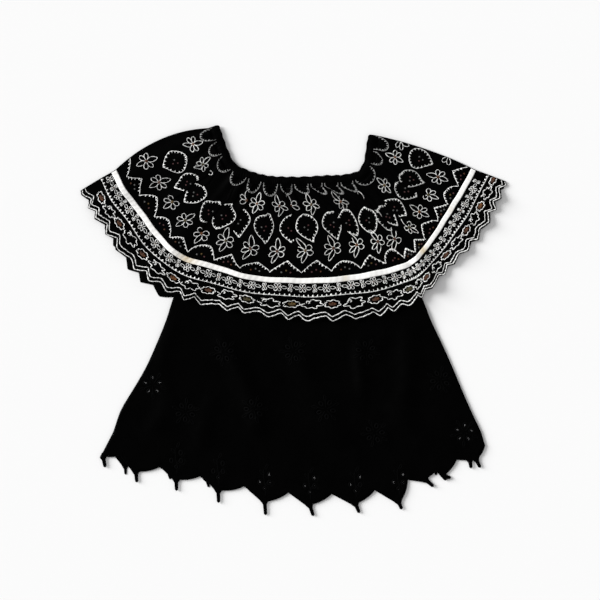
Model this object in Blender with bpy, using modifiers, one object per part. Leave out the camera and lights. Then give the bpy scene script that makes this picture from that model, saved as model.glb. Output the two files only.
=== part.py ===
"""Off-shoulder top of black cotton, laid flat on its back.

A gathered elastic casing runs round the neck. A deep flounce and an A-line body hang from it.
The front of each lies on its back. The hem of the body is cut in scallops with a short tail each,
and the lower edge of the flounce in small teeth. Eyelet sprigs are cut through the body.
A ribbon tape lies on the flounce. Seen from above, +X is the right of the top as it lies,
+Y points to the neck and +Z up from the surface it lies on.
All tables and sizes are in millimetres, and the meshes in metres.
"""
import bpy
import numpy as np
from mathutils import Vector
from mathutils.geometry import delaunay_2d_cdt

MM = 0.001

# Cloth
CLOTH = 1.2            # thickness of every cotton wall
GAP = 0.3              # between pieces that touch
CASING_WIDTH = 16.0    # elastic casing round the neck
CASING_WALL = 2.4      # two layers of cotton with the elastic between them
TAPE_WIDTH = 8.0
TAPE_WALL = 1.0

# Levels of the undersides, from the surface up
LAYER = CLOTH + GAP
FLOUNCE_BACK_LEVEL = 0.0
FRONT_CASING_LEVEL = CASING_WALL + GAP
DROP_START = 20.0      # a layer comes down from this far outside the edge of what it lies on
DROP_END = 80.0        # and is down here

# Neck: the free edge of the casing, from the left shoulder round to the right one
NECK_EDGE = (          # x, y
    (-111.5, 293.0), (-103.8, 271.5), (-96.9, 253.0), (-86.5, 234.5), (-67.0, 224.3),
    (-44.0, 217.5), (-1.5, 214.5), (46.5, 216.5), (82.5, 219.0), (98.5, 224.0),
    (106.3, 238.0), (109.5, 257.5), (113.5, 278.6))
NECK_POINTS = 59       # points along the neck of a flat piece
NECK_GATHERS = 20      # ripples along the front casing
CASING_RIPPLE = 1.1    # depth of a ripple at the casing's free edge
CASING_CROWN = 1.2     # rise of the casing's middle
CASING_SECTION = (     # share of the width, share of the crown: flat along both edges
    (0.0, 0.0), (0.14, 0.0), (0.5, 1.0), (0.86, 0.0), (1.0, 0.0))
NECK_SEAM = 0.7        # clear of the casing where the flounce and the body join it
BACK_NECK_DROP = 3.0   # the back casing lies this much lower, out of sight

# Flounce: one repeat of its border is 61.5 mm of cloth
FIRST_REPEAT = -0.5
LAST_REPEAT = 14.125
COLUMNS_PER_REPEAT = 8
TEETH_PER_REPEAT = 2
TOOTH = 8.0            # depth of a tooth of the lower edge
FLOUNCE_DEPTH = 198.0
TAPE_SHARE = 0.70      # the tape's place in the depth
RIBS = (               # repeat, tape x, y, lower edge x, y, rise of the rib's middle, back reach
    (-0.5, -267.0, 224.3, -316.8, 195.0, 13.0, 0.0),
    (0.0, -256.8, 203.4, -304.0, 170.0, 9.0, -5.0),
    (1.0, -231.0, 168.3, -277.5, 130.5, 4.0, -2.0),
    (2.0, -199.5, 126.0, -241.5, 82.0, 1.5, 4.5),
    (3.0, -165.0, 95.3, -186.0, 43.0, 0.0, 9.5),
    (4.0, -115.5, 78.8, -133.5, 23.5, 0.0, 3.0),
    (5.0, -63.0, 64.5, -73.0, 11.5, 0.0, -7.0),
    (6.0, -1.5, 60.0, -3.0, 2.0, 0.0, -7.0),
    (7.0, 57.8, 62.3, 57.0, 0.0, 0.0, -7.0),
    (8.0, 114.0, 69.3, 126.8, 6.8, 0.0, -7.0),
    (9.0, 161.3, 80.4, 177.8, 24.8, 0.0, -7.0),
    (10.0, 184.5, 90.8, 205.0, 48.0, 0.0, -6.0),
    (11.0, 205.5, 114.8, 242.0, 87.5, 0.0, -6.0),
    (12.0, 230.3, 151.5, 277.5, 124.5, 0.0, -5.0),
    (13.0, 249.0, 183.0, 300.0, 164.0, 1.0, -5.0),
    (14.125, 272.3, 225.5, 319.0, 207.8, 4.5, 0.0))
FLOUNCE_ROWS = (0.0, 0.05, 0.12, 0.21, 0.32, 0.44, 0.56, 0.68, 0.72, 0.82, 0.91, 1.0)
FLOUNCE_BACK_ROWS = (0.0, 0.33, 0.7, 0.9, 1.0)
GATHER_HEIGHT = 3.2    # rise of a gather at the casing
GATHER_FADE = 0.17     # share of the depth over which it sinks to a third
WAVES = (              # repeat at the edge, width in repeats, height, lean in repeats, start
    (0.35, 0.42, 4.5, -0.5, 0.35), (1.5, 0.40, 3.2, 0.3, 0.55), (2.45, 0.38, 5.5, 0.4, 0.30),
    (3.55, 0.34, 3.0, 0.2, 0.60), (4.6, 0.46, 4.2, 0.3, 0.40), (5.75, 0.36, 2.6, -0.1, 0.60),
    (6.9, 0.50, 3.8, 0.1, 0.45), (8.1, 0.36, 3.0, -0.2, 0.55), (9.15, 0.40, 4.6, -0.3, 0.35),
    (10.1, 0.30, 6.2, -0.4, 0.30), (11.3, 0.36, 4.8, -0.5, 0.40), (12.5, 0.34, 3.4, -0.3, 0.55),
    (13.4, 0.36, 4.2, 0.3, 0.40))
EDGE_LIFT = 1.2        # the lower edge of the flounce stands this much off the body

# Body: half widths at the side seams, from the armholes down, and the scalloped hem
ARMHOLES = (           # y, left x, right x
    (278.0, -127.0, 129.5), (240.0, -122.0, 132.0), (195.0, -125.0, 135.0),
    (150.0, -133.0, 143.0), (110.0, -148.0, 156.0))
SIDE_SEAMS = (         # y, left x, right x
    (78.0, -163.5, 173.0), (27.0, -181.5, 196.0), (0.0, -190.0, 206.5), (-36.0, -204.5, 223.5),
    (-72.0, -221.0, 239.5), (-108.0, -242.0, 254.5), (-132.0, -256.5, 265.0),
    (-168.0, -269.5, 282.0))
FRONT_HEM = (          # valley x, y, root x, y, tip x, y
    (-285.5, -199.0, -284.5, -205.0, -281.5, -220.5),
    (-259.0, -202.0, -235.5, -227.0, -234.0, -243.0),
    (-197.5, -218.5, -175.0, -239.0, -174.5, -255.5),
    (-136.0, -232.0, -112.0, -255.0, -111.5, -273.5),
    (-73.0, -248.5, -42.5, -271.5, -41.0, -292.0),
    (-7.0, -258.0, 25.0, -277.0, 30.5, -293.5),
    (58.0, -260.0, 93.5, -275.0, 99.5, -289.0),
    (122.5, -254.5, 158.0, -271.5, 163.0, -283.5),
    (171.5, -239.0, 198.5, -239.0, 210.5, -249.5),
    (214.0, -225.0, 227.5, -235.5, 236.5, -236.0),
    (245.0, -209.0, 265.0, -209.0, 267.0, -222.0),
    (269.5, -208.5, 274.0, -207.5, 280.5, -221.0))
FRONT_CORNER = (287.5, -187.0)
BACK_HEM = (           # valley x, y, root x, y, tip x, y
    (-271.0, -199.5, -251.5, -219.0, -251.0, -232.0),
    (-220.5, -205.5, -187.0, -226.5, -184.0, -239.0),
    (-157.5, -217.5, -130.0, -238.0, -126.0, -251.0),
    (-97.5, -222.0, -64.5, -241.5, -64.0, -258.0),
    (-31.5, -224.0, 4.5, -246.0, 7.5, -261.5),
    (39.0, -226.0, 72.0, -246.0, 76.5, -261.0),
    (105.0, -224.0, 139.5, -243.0, 143.0, -256.5),
    (166.5, -219.0, 187.5, -226.0, 189.0, -236.0),
    (202.5, -213.0, 213.5, -222.0, 214.5, -233.0),
    (225.0, -202.5, 250.5, -197.0, 251.0, -205.5))
BACK_CORNER = (283.5, -187.5)
SCALLOP_BOWS = (0.0, 0.07)    # bow of a scallop's left and right side, as a share of its length
TAIL_HALF_WIDTH = 2.2
TAIL_FLARE = 4.5       # length over which a tail widens into the scallop

# Eyelets: sprigs of oval holes, placed by their middle and by the roots of the hem's tails
SPRIG_PETALS = 5
SPRIG_RADIUS = 11.0
PETAL_HOLE = (7.0, 4.8)
BODY_SPRIGS = (        # x, y, turn in degrees, 1 where the back is cut too
    (-210.0, -97.5, 20.0, 1), (-160.5, -138.0, 50.0, 0), (-103.5, -48.0, 10.0, 0),
    (-58.5, -133.5, 35.0, 0), (1.5, -47.0, 0.0, 0), (49.5, -133.5, 60.0, 0),
    (109.5, -47.0, 25.0, 0), (123.0, -169.5, 5.0, 0), (221.0, -90.0, 45.0, 0),
    (257.0, -168.5, 15.0, 1))
HEM_SPRIG = (          # x and y from the tail's root, length, width
    (7.0, 40.0, 6.8, 5.0), (7.5, 28.0, 6.8, 5.2), (-7.0, 28.5, 6.6, 4.8), (0.5, 19.0, 5.0, 4.4))
HEM_SPRIG_ROWS = range(2, 8)   # the scallops of the front hem with a full sprig
HOLE_SIDES = 6
WITH_HOLES_LEFT_OUT = 2    # the triangulation's kind of result

# Soft folds of the front body
FOLDS = (              # top x, y, bottom x, y, width, height
    (-112.0, 8.0, -52.0, -165.0, 15.0, 6.0), (-34.0, 0.0, 78.0, -180.0, 20.0, 5.2),
    (102.0, -10.0, 100.0, -110.0, 10.0, 4.6), (172.0, 5.0, 166.0, -125.0, 15.0, 4.8),
    (-176.0, 5.0, -196.0, -75.0, 12.0, 3.2), (-190.0, -120.0, -215.0, -175.0, 16.0, 2.6),
    (150.0, -130.0, 205.0, -190.0, 15.0, 3.4), (-120.0, -110.0, -138.0, -200.0, 13.0, 2.4))
FOLD_RISE = 45.0       # a fold gains its height over this length
BODY_CELL = 21.0       # spacing of the points inside a body panel
BACK_CELL = 26.0

# Colours
BLACK_COTTON = (0.008, 0.008, 0.009)
WHITE_RIBBON = (0.86, 0.85, 0.82)


def ease(share):
    """Smooth step from 0 to 1."""
    share = np.clip(share, 0.0, 1.0)
    return share * share * (3.0 - 2.0 * share)


def through(stops, values, at):
    """Smooth curve through the rows of a table: cubics whose slopes come from the neighbours."""
    stops, values, at = np.asarray(stops), np.asarray(values, float), np.asarray(at, float)
    slopes = np.gradient(values, stops, axis=0)
    cell = np.clip(np.searchsorted(stops, at, side="right") - 1, 0, len(stops) - 2)
    width = stops[cell + 1] - stops[cell]
    u = (at - stops[cell]) / width
    if values.ndim > 1:
        u, width = u[..., None], width[..., None]
    start, end = values[cell], values[cell + 1]
    rise = (2 * u ** 3 - 3 * u ** 2 + 1) * start + (3 * u ** 2 - 2 * u ** 3) * end
    return rise + width * ((u ** 3 - 2 * u ** 2 + u) * slopes[cell] + (u ** 3 - u ** 2) * slopes[cell + 1])


def neck_path(count, drop=0.0):
    """Evenly spaced points along the neck edge, and the directions away from the opening."""
    rows = np.array(NECK_EDGE) - (0.0, drop)
    steps = np.linalg.norm(np.diff(rows, axis=0), axis=1)
    stops = np.concatenate([[0.0], np.cumsum(steps)]) / steps.sum()
    share = np.linspace(0.0, 1.0, count)
    step = 0.5 / NECK_POINTS
    before, after = np.clip(share - step, 0.0, 1.0), np.clip(share + step, 0.0, 1.0)
    along = through(stops, rows, after) - through(stops, rows, before)
    along /= np.linalg.norm(along, axis=1)[:, None]
    return through(stops, rows, share), np.stack([along[:, 1], -along[:, 0]], axis=1)


def ends_fade(count, reach):
    """0 at both ends of a row of points, 1 from the given share of its length inwards."""
    share = np.linspace(0.0, 1.0, count)
    return ease(np.minimum(share, 1.0 - share) / reach)


def flounce_plan(repeats, shares, back=False):
    """Places of the flounce's points from above, a row of points for each share of the depth.

    A rib runs from the casing through the tape to the lower edge. Along it a point follows the
    parabola through those three, and above the tape it rises by the rib's own bow.
    """
    table = np.array(RIBS)
    rib = through(table[:, 0], table[:, 1:], repeats)
    tape, edge, bow, reach = rib[:, 0:2], rib[:, 2:4], rib[:, 4], rib[:, 5]
    neck, outwards = neck_path(len(repeats), BACK_NECK_DROP if back else 0.0)
    neck = neck + outwards * (CASING_WIDTH + NECK_SEAM)
    down = (edge - tape) / np.linalg.norm(edge - tape, axis=1)[:, None]
    if back:
        edge = edge + down * reach[:, None]
    tooth = 2.0 * np.abs((repeats * TEETH_PER_REPEAT) % 1.0 - 0.5) - 0.5
    edge = edge + down * (tooth * TOOTH)[:, None]
    rows = []
    for t in shares:
        a = (t - TAPE_SHARE) * (t - 1.0) / TAPE_SHARE
        b = t * (t - 1.0) / (TAPE_SHARE * (TAPE_SHARE - 1.0))
        c = t * (t - TAPE_SHARE) / (1.0 - TAPE_SHARE)
        rise = bow * max(0.0, 4.0 * t * (TAPE_SHARE - t) / TAPE_SHARE ** 2)
        rows.append(a * neck + b * tape + c * edge + np.stack([0.0 * rise, rise], axis=1))
    return np.array(rows)


def flounce_height(repeats, shares):
    """Rise of the front flounce over what it lies on: gathers at the casing, waves at the edge."""
    k, t = np.meshgrid(repeats, shares)
    span = LAST_REPEAT - FIRST_REPEAT
    turn = (k - FIRST_REPEAT) / span * NECK_GATHERS + 0.22 * np.sin(1.9 * k)
    gathers = GATHER_HEIGHT * (0.5 - 0.5 * np.cos(2 * np.pi * turn)) * np.exp(-t / GATHER_FADE)
    waves = np.zeros_like(k)
    for middle, width, height, lean, start in WAVES:
        off = (k - middle - lean * (1.0 - t)) / width
        waves = waves + height * np.exp(-off * off) * ease((t - start + 0.2) / (1.2 - start))
    lift = EDGE_LIFT * ease((t - 0.6) / 0.4)
    return (gathers + waves + lift) * ends_fade(len(repeats), 0.035)


def flounce_outline(back):
    """Closed outline of one side of the flounce, once round."""
    repeats = np.linspace(FIRST_REPEAT, LAST_REPEAT, 60)
    rows = flounce_plan(repeats, np.linspace(0.0, 1.0, 6), back)
    return np.concatenate([rows[0], rows[1:-1, -1], rows[-1][::-1], rows[1:-1, 0][::-1]])


def outside_distance(points, outline):
    """How far each point lies outside a closed outline, and 0 inside it."""
    start, end = outline, np.roll(outline, -1, axis=0)
    run = end - start
    offset = points[:, None, :] - start[None]
    share = np.clip((offset * run).sum(2) / (run ** 2).sum(1), 0.0, 1.0)
    distance = np.linalg.norm(offset - share[..., None] * run, axis=2).min(1)
    above = (start[:, 1] > points[:, None, 1]) != (end[:, 1] > points[:, None, 1])
    rise = np.where(run[:, 1] == 0.0, 1.0, run[:, 1])
    crossing = start[:, 0] + (points[:, None, 1] - start[:, 1]) * run[:, 0] / rise
    inside = (above & (points[:, None, 0] < crossing)).sum(1) % 2 == 1
    return np.where(inside, 0.0, distance), np.where(inside, distance, 0.0)


def rest_on(points, outline, step):
    """Level of a layer that lies on an outline: the step over it, down to 0 away from it."""
    outside = outside_distance(points, outline)[0]
    return step * (1.0 - ease((outside - DROP_START) / (DROP_END - DROP_START)))


def scallop_side(start, end, bow):
    """Two points between the ends of a scallop's side, bowed away from the cloth."""
    run = end - start
    across = np.array([run[1], -run[0]])
    middle = 0.5 * (start + end) + 2.0 * bow * across
    shares = (0.33, 0.67)
    return [start * (1 - s) ** 2 + 2 * middle * s * (1 - s) + end * s ** 2 for s in shares]


def hem(rows, corner):
    """Hem from left to right: for each row a scallop with a tail that ends round."""
    points = []
    table = np.array(rows)
    for index, row in enumerate(table):
        valley, root, tip = row[0:2], row[2:4], row[4:6]
        after = table[index + 1, 0:2] if index + 1 < len(table) else np.array(corner)
        down = (tip - root) / np.linalg.norm(tip - root)
        across = np.array([-down[1], down[0]]) * TAIL_HALF_WIDTH
        left, right = root - 2.0 * across, root + 2.0 * across
        neck = root + TAIL_FLARE * down
        points += [valley, *scallop_side(valley, left, SCALLOP_BOWS[0]), left, neck - across]
        points += [tip - 0.8 * across - 1.5 * down, tip, tip + 0.8 * across - 1.5 * down]
        points += [neck + across, right, *scallop_side(right, after, SCALLOP_BOWS[1])]
    return points + [np.array(corner)]


def body_outline(hem_points, back=False):
    """Closed outline of a body panel: neck, right armhole and seam, hem, left seam and armhole."""
    neck, outwards = neck_path(NECK_POINTS, BACK_NECK_DROP if back else 0.0)
    top = neck + outwards * (CASING_WIDTH + NECK_SEAM)
    sides = np.array(ARMHOLES + SIDE_SEAMS)
    right = sides[:, [2, 0]]
    left = sides[::-1, [1, 0]]
    inner = slice(1, -1)
    return np.concatenate([top[inner], right[1:], hem_points[::-1], left[:-1]])


def oval(x, y, length, width, turn):
    """Closed hole with its long axis at the given angle."""
    angles = np.arange(HOLE_SIDES) * 2 * np.pi / HOLE_SIDES
    along, across = 0.5 * length * np.cos(angles), 0.5 * width * np.sin(angles)
    c, s = np.cos(turn), np.sin(turn)
    return np.stack([x + along * c - across * s, y + along * s + across * c], axis=1)


def body_eyelets(back=False):
    """Holes of the sprigs on the body, petals round a middle."""
    holes = []
    for x, y, turn, cut_back in BODY_SPRIGS:
        if back and not cut_back:
            continue
        for petal in range(SPRIG_PETALS):
            angle = np.radians(turn) + petal * 2 * np.pi / SPRIG_PETALS
            middle_x, middle_y = x + SPRIG_RADIUS * np.cos(angle), y + SPRIG_RADIUS * np.sin(angle)
            holes.append(oval(middle_x, middle_y, *PETAL_HOLE, angle))
    return holes


def hem_eyelets():
    """Holes above each tail of the front hem."""
    holes = []
    for index in HEM_SPRIG_ROWS:
        root_x, root_y = FRONT_HEM[index][2:4]
        holes += [oval(root_x + x, root_y + y, length, width, np.pi / 2)
                  for x, y, length, width in HEM_SPRIG]
    return holes


def fold_height(points, flounce):
    """Rise of the body's folds: a ridge along each row of the table, none under the flounce."""
    rise = np.zeros(len(points))
    for top_x, top_y, bottom_x, bottom_y, width, height in FOLDS:
        top, run = np.array([top_x, top_y]), np.array([bottom_x - top_x, bottom_y - top_y])
        length = np.linalg.norm(run)
        along = (points - top) @ run / length
        across = (points - top) @ np.array([-run[1], run[0]]) / length
        ends = ease(along / FOLD_RISE + 0.5) * ease((length - along) / FOLD_RISE + 0.5)
        rise = rise + height * np.exp(-(across / width) ** 2) * ends
    outside = outside_distance(points, flounce)[0]
    return rise * ease((outside - DROP_START) / FOLD_RISE)


def panel_points(outline, holes, cell):
    """Outline, holes and a staggered grid of inner points, with the loops that bound the cloth."""
    points, loops = [], []
    for loop in [outline] + holes:
        loops.append(list(range(len(points), len(points) + len(loop))))
        points += [tuple(p) for p in loop]
    low, high = outline.min(0), outline.max(0)
    rows = np.arange(low[1] + 0.5 * cell, high[1], cell)
    grid = [(x + (index % 2) * 0.5 * cell, y)
            for index, y in enumerate(rows) for x in np.arange(low[0], high[0], cell)]
    grid = np.array(grid)
    grid = grid[outside_distance(grid, outline)[1] > 0.4 * cell]
    for hole in holes:
        grid = grid[np.linalg.norm(grid - hole.mean(0), axis=1) > 0.5 * cell]
    return points + [tuple(p) for p in grid], loops


def material(name, colour, roughness):
    """Principled material of one colour."""
    made = bpy.data.materials.new(name)
    made.use_nodes = True
    shader = made.node_tree.nodes["Principled BSDF"]
    shader.inputs["Base Color"].default_value = (*colour, 1.0)
    shader.inputs["Roughness"].default_value = roughness
    shader.inputs["Metallic"].default_value = 0.0
    return made


def shell(name, points, faces, wall, finish, collection):
    """Open surface with a wall raised from it: the surface is the underside of the piece."""
    mesh = bpy.data.meshes.new(name)
    mesh.from_pydata([tuple(MM * np.array(p)) for p in points], [], faces)
    mesh.materials.append(finish)
    mesh.shade_smooth()
    mesh.set_sharp_from_angle(angle=np.radians(50.0))
    piece = bpy.data.objects.new(name, mesh)
    collection.objects.link(piece)
    solidify = piece.modifiers.new("Wall", "SOLIDIFY")
    solidify.thickness = wall * MM
    solidify.offset = 1.0
    return piece


def grid_shell(name, rows, wall, finish, collection):
    """Shell over a grid of points, a row of points for each line across the piece."""
    count, width = rows.shape[0], rows.shape[1]
    faces = [(r * width + c, (r + 1) * width + c, (r + 1) * width + c + 1, r * width + c + 1)
             for r in range(count - 1) for c in range(width - 1)]
    return shell(name, rows.reshape(-1, 3), faces, wall, finish, collection)


def body_panel(name, outline, holes, cell, level, finish, collection):
    """Panel cut from its outline and holes, raised to its level."""
    points, loops = panel_points(outline, holes, cell)
    cut = delaunay_2d_cdt([Vector(p) for p in points], [], loops, WITH_HOLES_LEFT_OUT, 0.01)
    flat = np.array([tuple(p) for p in cut[0]])
    raised = np.column_stack([flat, level(flat)])
    return shell(name, raised, cut[2], CLOTH, finish, collection)


def add_flounces(body_front, finish, collection):
    """Back flounce flat on the surface, front flounce gathered over the body."""
    count = int(round((LAST_REPEAT - FIRST_REPEAT) * COLUMNS_PER_REPEAT)) + 1
    coarse = np.linspace(FIRST_REPEAT, LAST_REPEAT, (count - 1) // 2 + 1)
    back = flounce_plan(coarse, FLOUNCE_BACK_ROWS, back=True)
    level = np.full(back.shape[:2] + (1,), FLOUNCE_BACK_LEVEL)
    grid_shell("flounce_back", np.concatenate([back, level], axis=2), CLOTH, finish, collection)
    repeats = np.linspace(FIRST_REPEAT, LAST_REPEAT, count)
    rows = flounce_surface(repeats, FLOUNCE_ROWS, body_front)
    grid_shell("flounce_front", rows, CLOTH, finish, collection)
    return repeats


def flounce_surface(repeats, shares, body_front):
    """Underside of the front flounce: over the body's two layers, or on the back flounce."""
    plan = flounce_plan(repeats, shares)
    under = rest_on(plan.reshape(-1, 2), body_front, 2.0 * LAYER).reshape(plan.shape[:2])
    level = LAYER + under + flounce_height(repeats, shares)
    return np.concatenate([plan, level[..., None]], axis=2)


def add_tape(repeats, body_front, finish, collection):
    """Ribbon on the front flounce, made from its points and moved out."""
    half = 0.5 * TAPE_WIDTH / FLOUNCE_DEPTH
    rows = flounce_surface(repeats, (TAPE_SHARE - half, TAPE_SHARE + half), body_front)
    rows = rows[:, 1:-1] + (0.0, 0.0, CLOTH + GAP)
    grid_shell("tape_front", rows, TAPE_WALL, finish, collection)


def add_casing(name, count, level, drop, ripple, crown, finish, collection):
    """Band along the neck, its free edge rippled and its middle raised."""
    points, outwards = neck_path(count, drop)
    share = np.linspace(0.0, 1.0, count)
    wave = 0.5 - 0.5 * np.cos(2 * np.pi * (NECK_GATHERS * share + 0.2 * np.sin(17.0 * share)))
    fade = ends_fade(count, 0.04)
    rows = []
    for across, swell in CASING_SECTION:
        shift = CASING_WIDTH * across + ripple * (wave * fade - 0.8) * (1.0 - across)
        rise = level + fade * crown * swell * (0.35 + 0.65 * wave)
        rows.append(np.column_stack([points + outwards * shift[:, None], rise]))
    return grid_shell(name, np.array(rows), CASING_WALL, finish, collection)


def build():
    """The whole top."""
    for old in list(bpy.data.objects):
        bpy.data.objects.remove(old, do_unlink=True)
    collection = bpy.data.collections.new("off_shoulder_top")
    bpy.context.scene.collection.children.link(collection)

    front = body_outline(hem(FRONT_HEM, FRONT_CORNER))
    back = body_outline(hem(BACK_HEM, BACK_CORNER), back=True)
    over_flounce = flounce_outline(back=True)
    under_flounce = flounce_outline(back=False)

    repeats = add_flounces(front, material("flounce_cotton", BLACK_COTTON, 0.9), collection)
    add_tape(repeats, front, material("ribbon", WHITE_RIBBON, 0.6), collection)

    body_panel("body_back", back, body_eyelets(back=True), BACK_CELL,
               lambda p: rest_on(p, over_flounce, LAYER),
               material("back_cotton", BLACK_COTTON, 0.9), collection)
    body_panel("body_front", front, body_eyelets() + hem_eyelets(), BODY_CELL,
               lambda p: (rest_on(p, over_flounce, LAYER) + rest_on(p, back, LAYER)
                          + fold_height(p, under_flounce)),
               material("front_cotton", BLACK_COTTON, 0.9), collection)

    add_casing("casing_back", NECK_POINTS, 0.0, BACK_NECK_DROP, 0.0, 0.0,
               material("back_casing_cotton", BLACK_COTTON, 0.85), collection)
    add_casing("casing_front", 101, FRONT_CASING_LEVEL, 0.0, CASING_RIPPLE, CASING_CROWN,
               material("front_casing_cotton", BLACK_COTTON, 0.85), collection)


build()
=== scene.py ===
"""Looks of a black cotton off-shoulder top, laid flat on its back.

Tables are in millimetres and meshes in metres. The flounce is a surface of two parameters: the
repeat, which counts the border's repeats from shoulder to shoulder, and the share of its depth
from the casing to the lower edge. Everything sewn on the flounce is drawn in those two.
"""
import bpy
import numpy as np
from numpy import cos, exp, pi, sin
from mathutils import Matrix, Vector
from mathutils.geometry import delaunay_2d_cdt


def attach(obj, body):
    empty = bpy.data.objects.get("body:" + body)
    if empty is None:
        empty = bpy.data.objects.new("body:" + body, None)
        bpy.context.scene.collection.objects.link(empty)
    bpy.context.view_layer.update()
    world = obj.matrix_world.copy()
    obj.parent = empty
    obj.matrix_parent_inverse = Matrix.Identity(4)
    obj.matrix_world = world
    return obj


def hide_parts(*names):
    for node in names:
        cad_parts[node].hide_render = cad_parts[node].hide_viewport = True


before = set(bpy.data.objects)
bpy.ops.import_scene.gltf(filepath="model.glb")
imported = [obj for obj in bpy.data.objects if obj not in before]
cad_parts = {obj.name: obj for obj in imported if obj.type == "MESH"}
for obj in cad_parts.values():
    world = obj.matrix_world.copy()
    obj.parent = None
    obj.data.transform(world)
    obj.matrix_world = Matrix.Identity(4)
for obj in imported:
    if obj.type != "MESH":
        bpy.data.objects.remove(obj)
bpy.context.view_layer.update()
MM = 0.001

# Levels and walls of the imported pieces
CLOTH = 1.2
GAP = 0.3
CASING_WIDTH = 16.0
CASING_WALL = 2.4
TAPE_WIDTH = 8.0
LAYER = CLOTH + GAP
DROP_START = 20.0      # distances past a layer's edge between which the cloth comes down
DROP_END = 80.0

# Shown walls
FINE_CLOTH = 0.55
TAPE_WALL = 0.4
FINE_LIFT = 0.35       # the shown cloth lies this far into its solid's wall

# Neck
NECK_EDGE = (          # x, y
    (-111.5, 293), (-103.8, 271.5), (-96.9, 253), (-86.5, 234.5), (-67, 224.3),
    (-44, 217.5), (-1.5, 214.5), (46.5, 216.5), (82.5, 219), (98.5, 224),
    (106.3, 238), (109.5, 257.5), (113.5, 278.6))
NECK_GATHERS = 20
NECK_LENGTH = 390.0
CASING_CORNER = 5.0    # radius of the casing's free corners
CASING_SPREAD = CASING_WIDTH + 0.8      # the tube's width, over the seam
CASING_LEVEL = CASING_WALL + GAP        # the front casing's underside
CASING_RIPPLE = 1.1    # swing of the free edge
CASING_CROWN = 1.2     # extra height in the middle of a gather
NECK_SEAM = 0.7        # between the casing and what is sewn on below it
BACK_NECK_DROP = 3.0
PLAIN_SCALE = 48.0     # millimetres from above to a repeat, under which motifs are foreshortened
EVENED = 1.5           # repeats to each side over which the upper columns' spacing is evened
TUCKED = 0.05          # share of its width that tucked cloth still takes from above
TUCK_LIP = 1.1         # height of the lip beside a tuck
TUCK_SHARE = 0.85      # share of the spare cloth that is in tucks
TUCK_WEIGHTS = 6.5     # least sum of the weights that the share is dealt out by
DEEP_TUCKS = (         # repeat at the casing, lean, weight, share of the depth where it opens
    (1.40, 0.1, 0.46, 0.34), (3.02, 0, 0.45, 0.36), (4.04, 0, 0.42, 0.30), (6.05, 0, 0.46, 0.34),
    (7.83, 0, 0.30, 0.32), (9.95, 0, 0.75, 0.46), (11.05, 0, 0.36, 0.34), (12.50, -0.1, 0.44, 0.34))
TAPE_SHIFT = (         # repeat, millimetres towards the lower edge
    (-0.5, 2.2), (2.6, 1.8), (4, 0.2), (5.5, 1), (9, 1), (10, -1.2), (14.125, -1.4))

# Columns of the upper part, whose motifs stand closer than the border's: 5 columns to 4 repeats
UPPER_START = -0.08
UPPER_STEP = 0.79
UPPER_COLUMNS = np.arange(0, 19)
BETWEEN_COLUMNS = UPPER_START + UPPER_STEP * (UPPER_COLUMNS[:-1] + 0.5)
GATHERED_IN = (3, 10, 12, 14)   # columns whose flower by the casing lies in a gather
FOLDED_UNDER = (13,)            # columns whose flower above the tape lies in a fold

# Flounce
FIRST = -0.5
LAST = 14.125
SPAN = LAST - FIRST
REPEAT = 61.5
DEPTH = 198.0
TAPE_SHARE = 0.70
TOOTH = 8.0
TEETH_PER_REPEAT = 2
NOTCH_PHASE = 0.6
RIBS = np.array((      # repeat, tape x, y, lower edge x, y, rise of the rib's middle, back reach
    (-0.5, -267, 224.3, -316.8, 195, 13, 0),
    (0, -256.8, 203.4, -304, 170, 9, -5),
    (1, -231, 168.3, -277.5, 130.5, 4, -2),
    (2, -199.5, 126, -241.5, 82, 1.5, 4.5),
    (3, -165, 95.3, -186, 43, 0, 9.5),
    (4, -115.5, 78.8, -133.5, 23.5, 0, 3),
    (5, -63, 64.5, -73, 11.5, 0, -7),
    (6, -1.5, 60, -3, 2, 0, -7),
    (7, 57.8, 62.3, 57, 0, 0, -7),
    (8, 114, 69.3, 126.8, 6.8, 0, -7),
    (9, 161.3, 80.4, 177.8, 24.8, 0, -7),
    (10, 184.5, 90.8, 205, 48, 0, -6),
    (11, 205.5, 114.8, 242, 87.5, 0, -6),
    (12, 230.3, 151.5, 277.5, 124.5, 0, -5),
    (13, 249, 183, 300, 164, 1, -5),
    (14.125, 272.3, 225.5, 319, 207.8, 4.5, 0)))
GATHER_HEIGHT = 3.2
GATHER_FADE = 0.17     # share of the depth over which the gathers sink
WAVES = (              # repeat at the edge, width in repeats, height, lean in repeats, start
    (0.35, 0.42, 4.5, -0.5, 0.35), (1.5, 0.40, 3.2, 0.3, 0.55), (2.45, 0.38, 5.5, 0.4, 0.30),
    (3.55, 0.34, 3, 0.2, 0.60), (4.6, 0.46, 4.2, 0.3, 0.40), (5.75, 0.36, 2.6, -0.1, 0.60),
    (6.9, 0.50, 3.8, 0.1, 0.45), (8.1, 0.36, 3, -0.2, 0.55), (9.15, 0.40, 4.6, -0.3, 0.35),
    (10.1, 0.30, 6.2, -0.4, 0.30), (11.3, 0.36, 4.8, -0.5, 0.40), (12.5, 0.34, 3.4, -0.3, 0.55),
    (13.4, 0.36, 4.2, 0.3, 0.40))
EDGE_LIFT = 1.2        # rise of the whole lower edge

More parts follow.
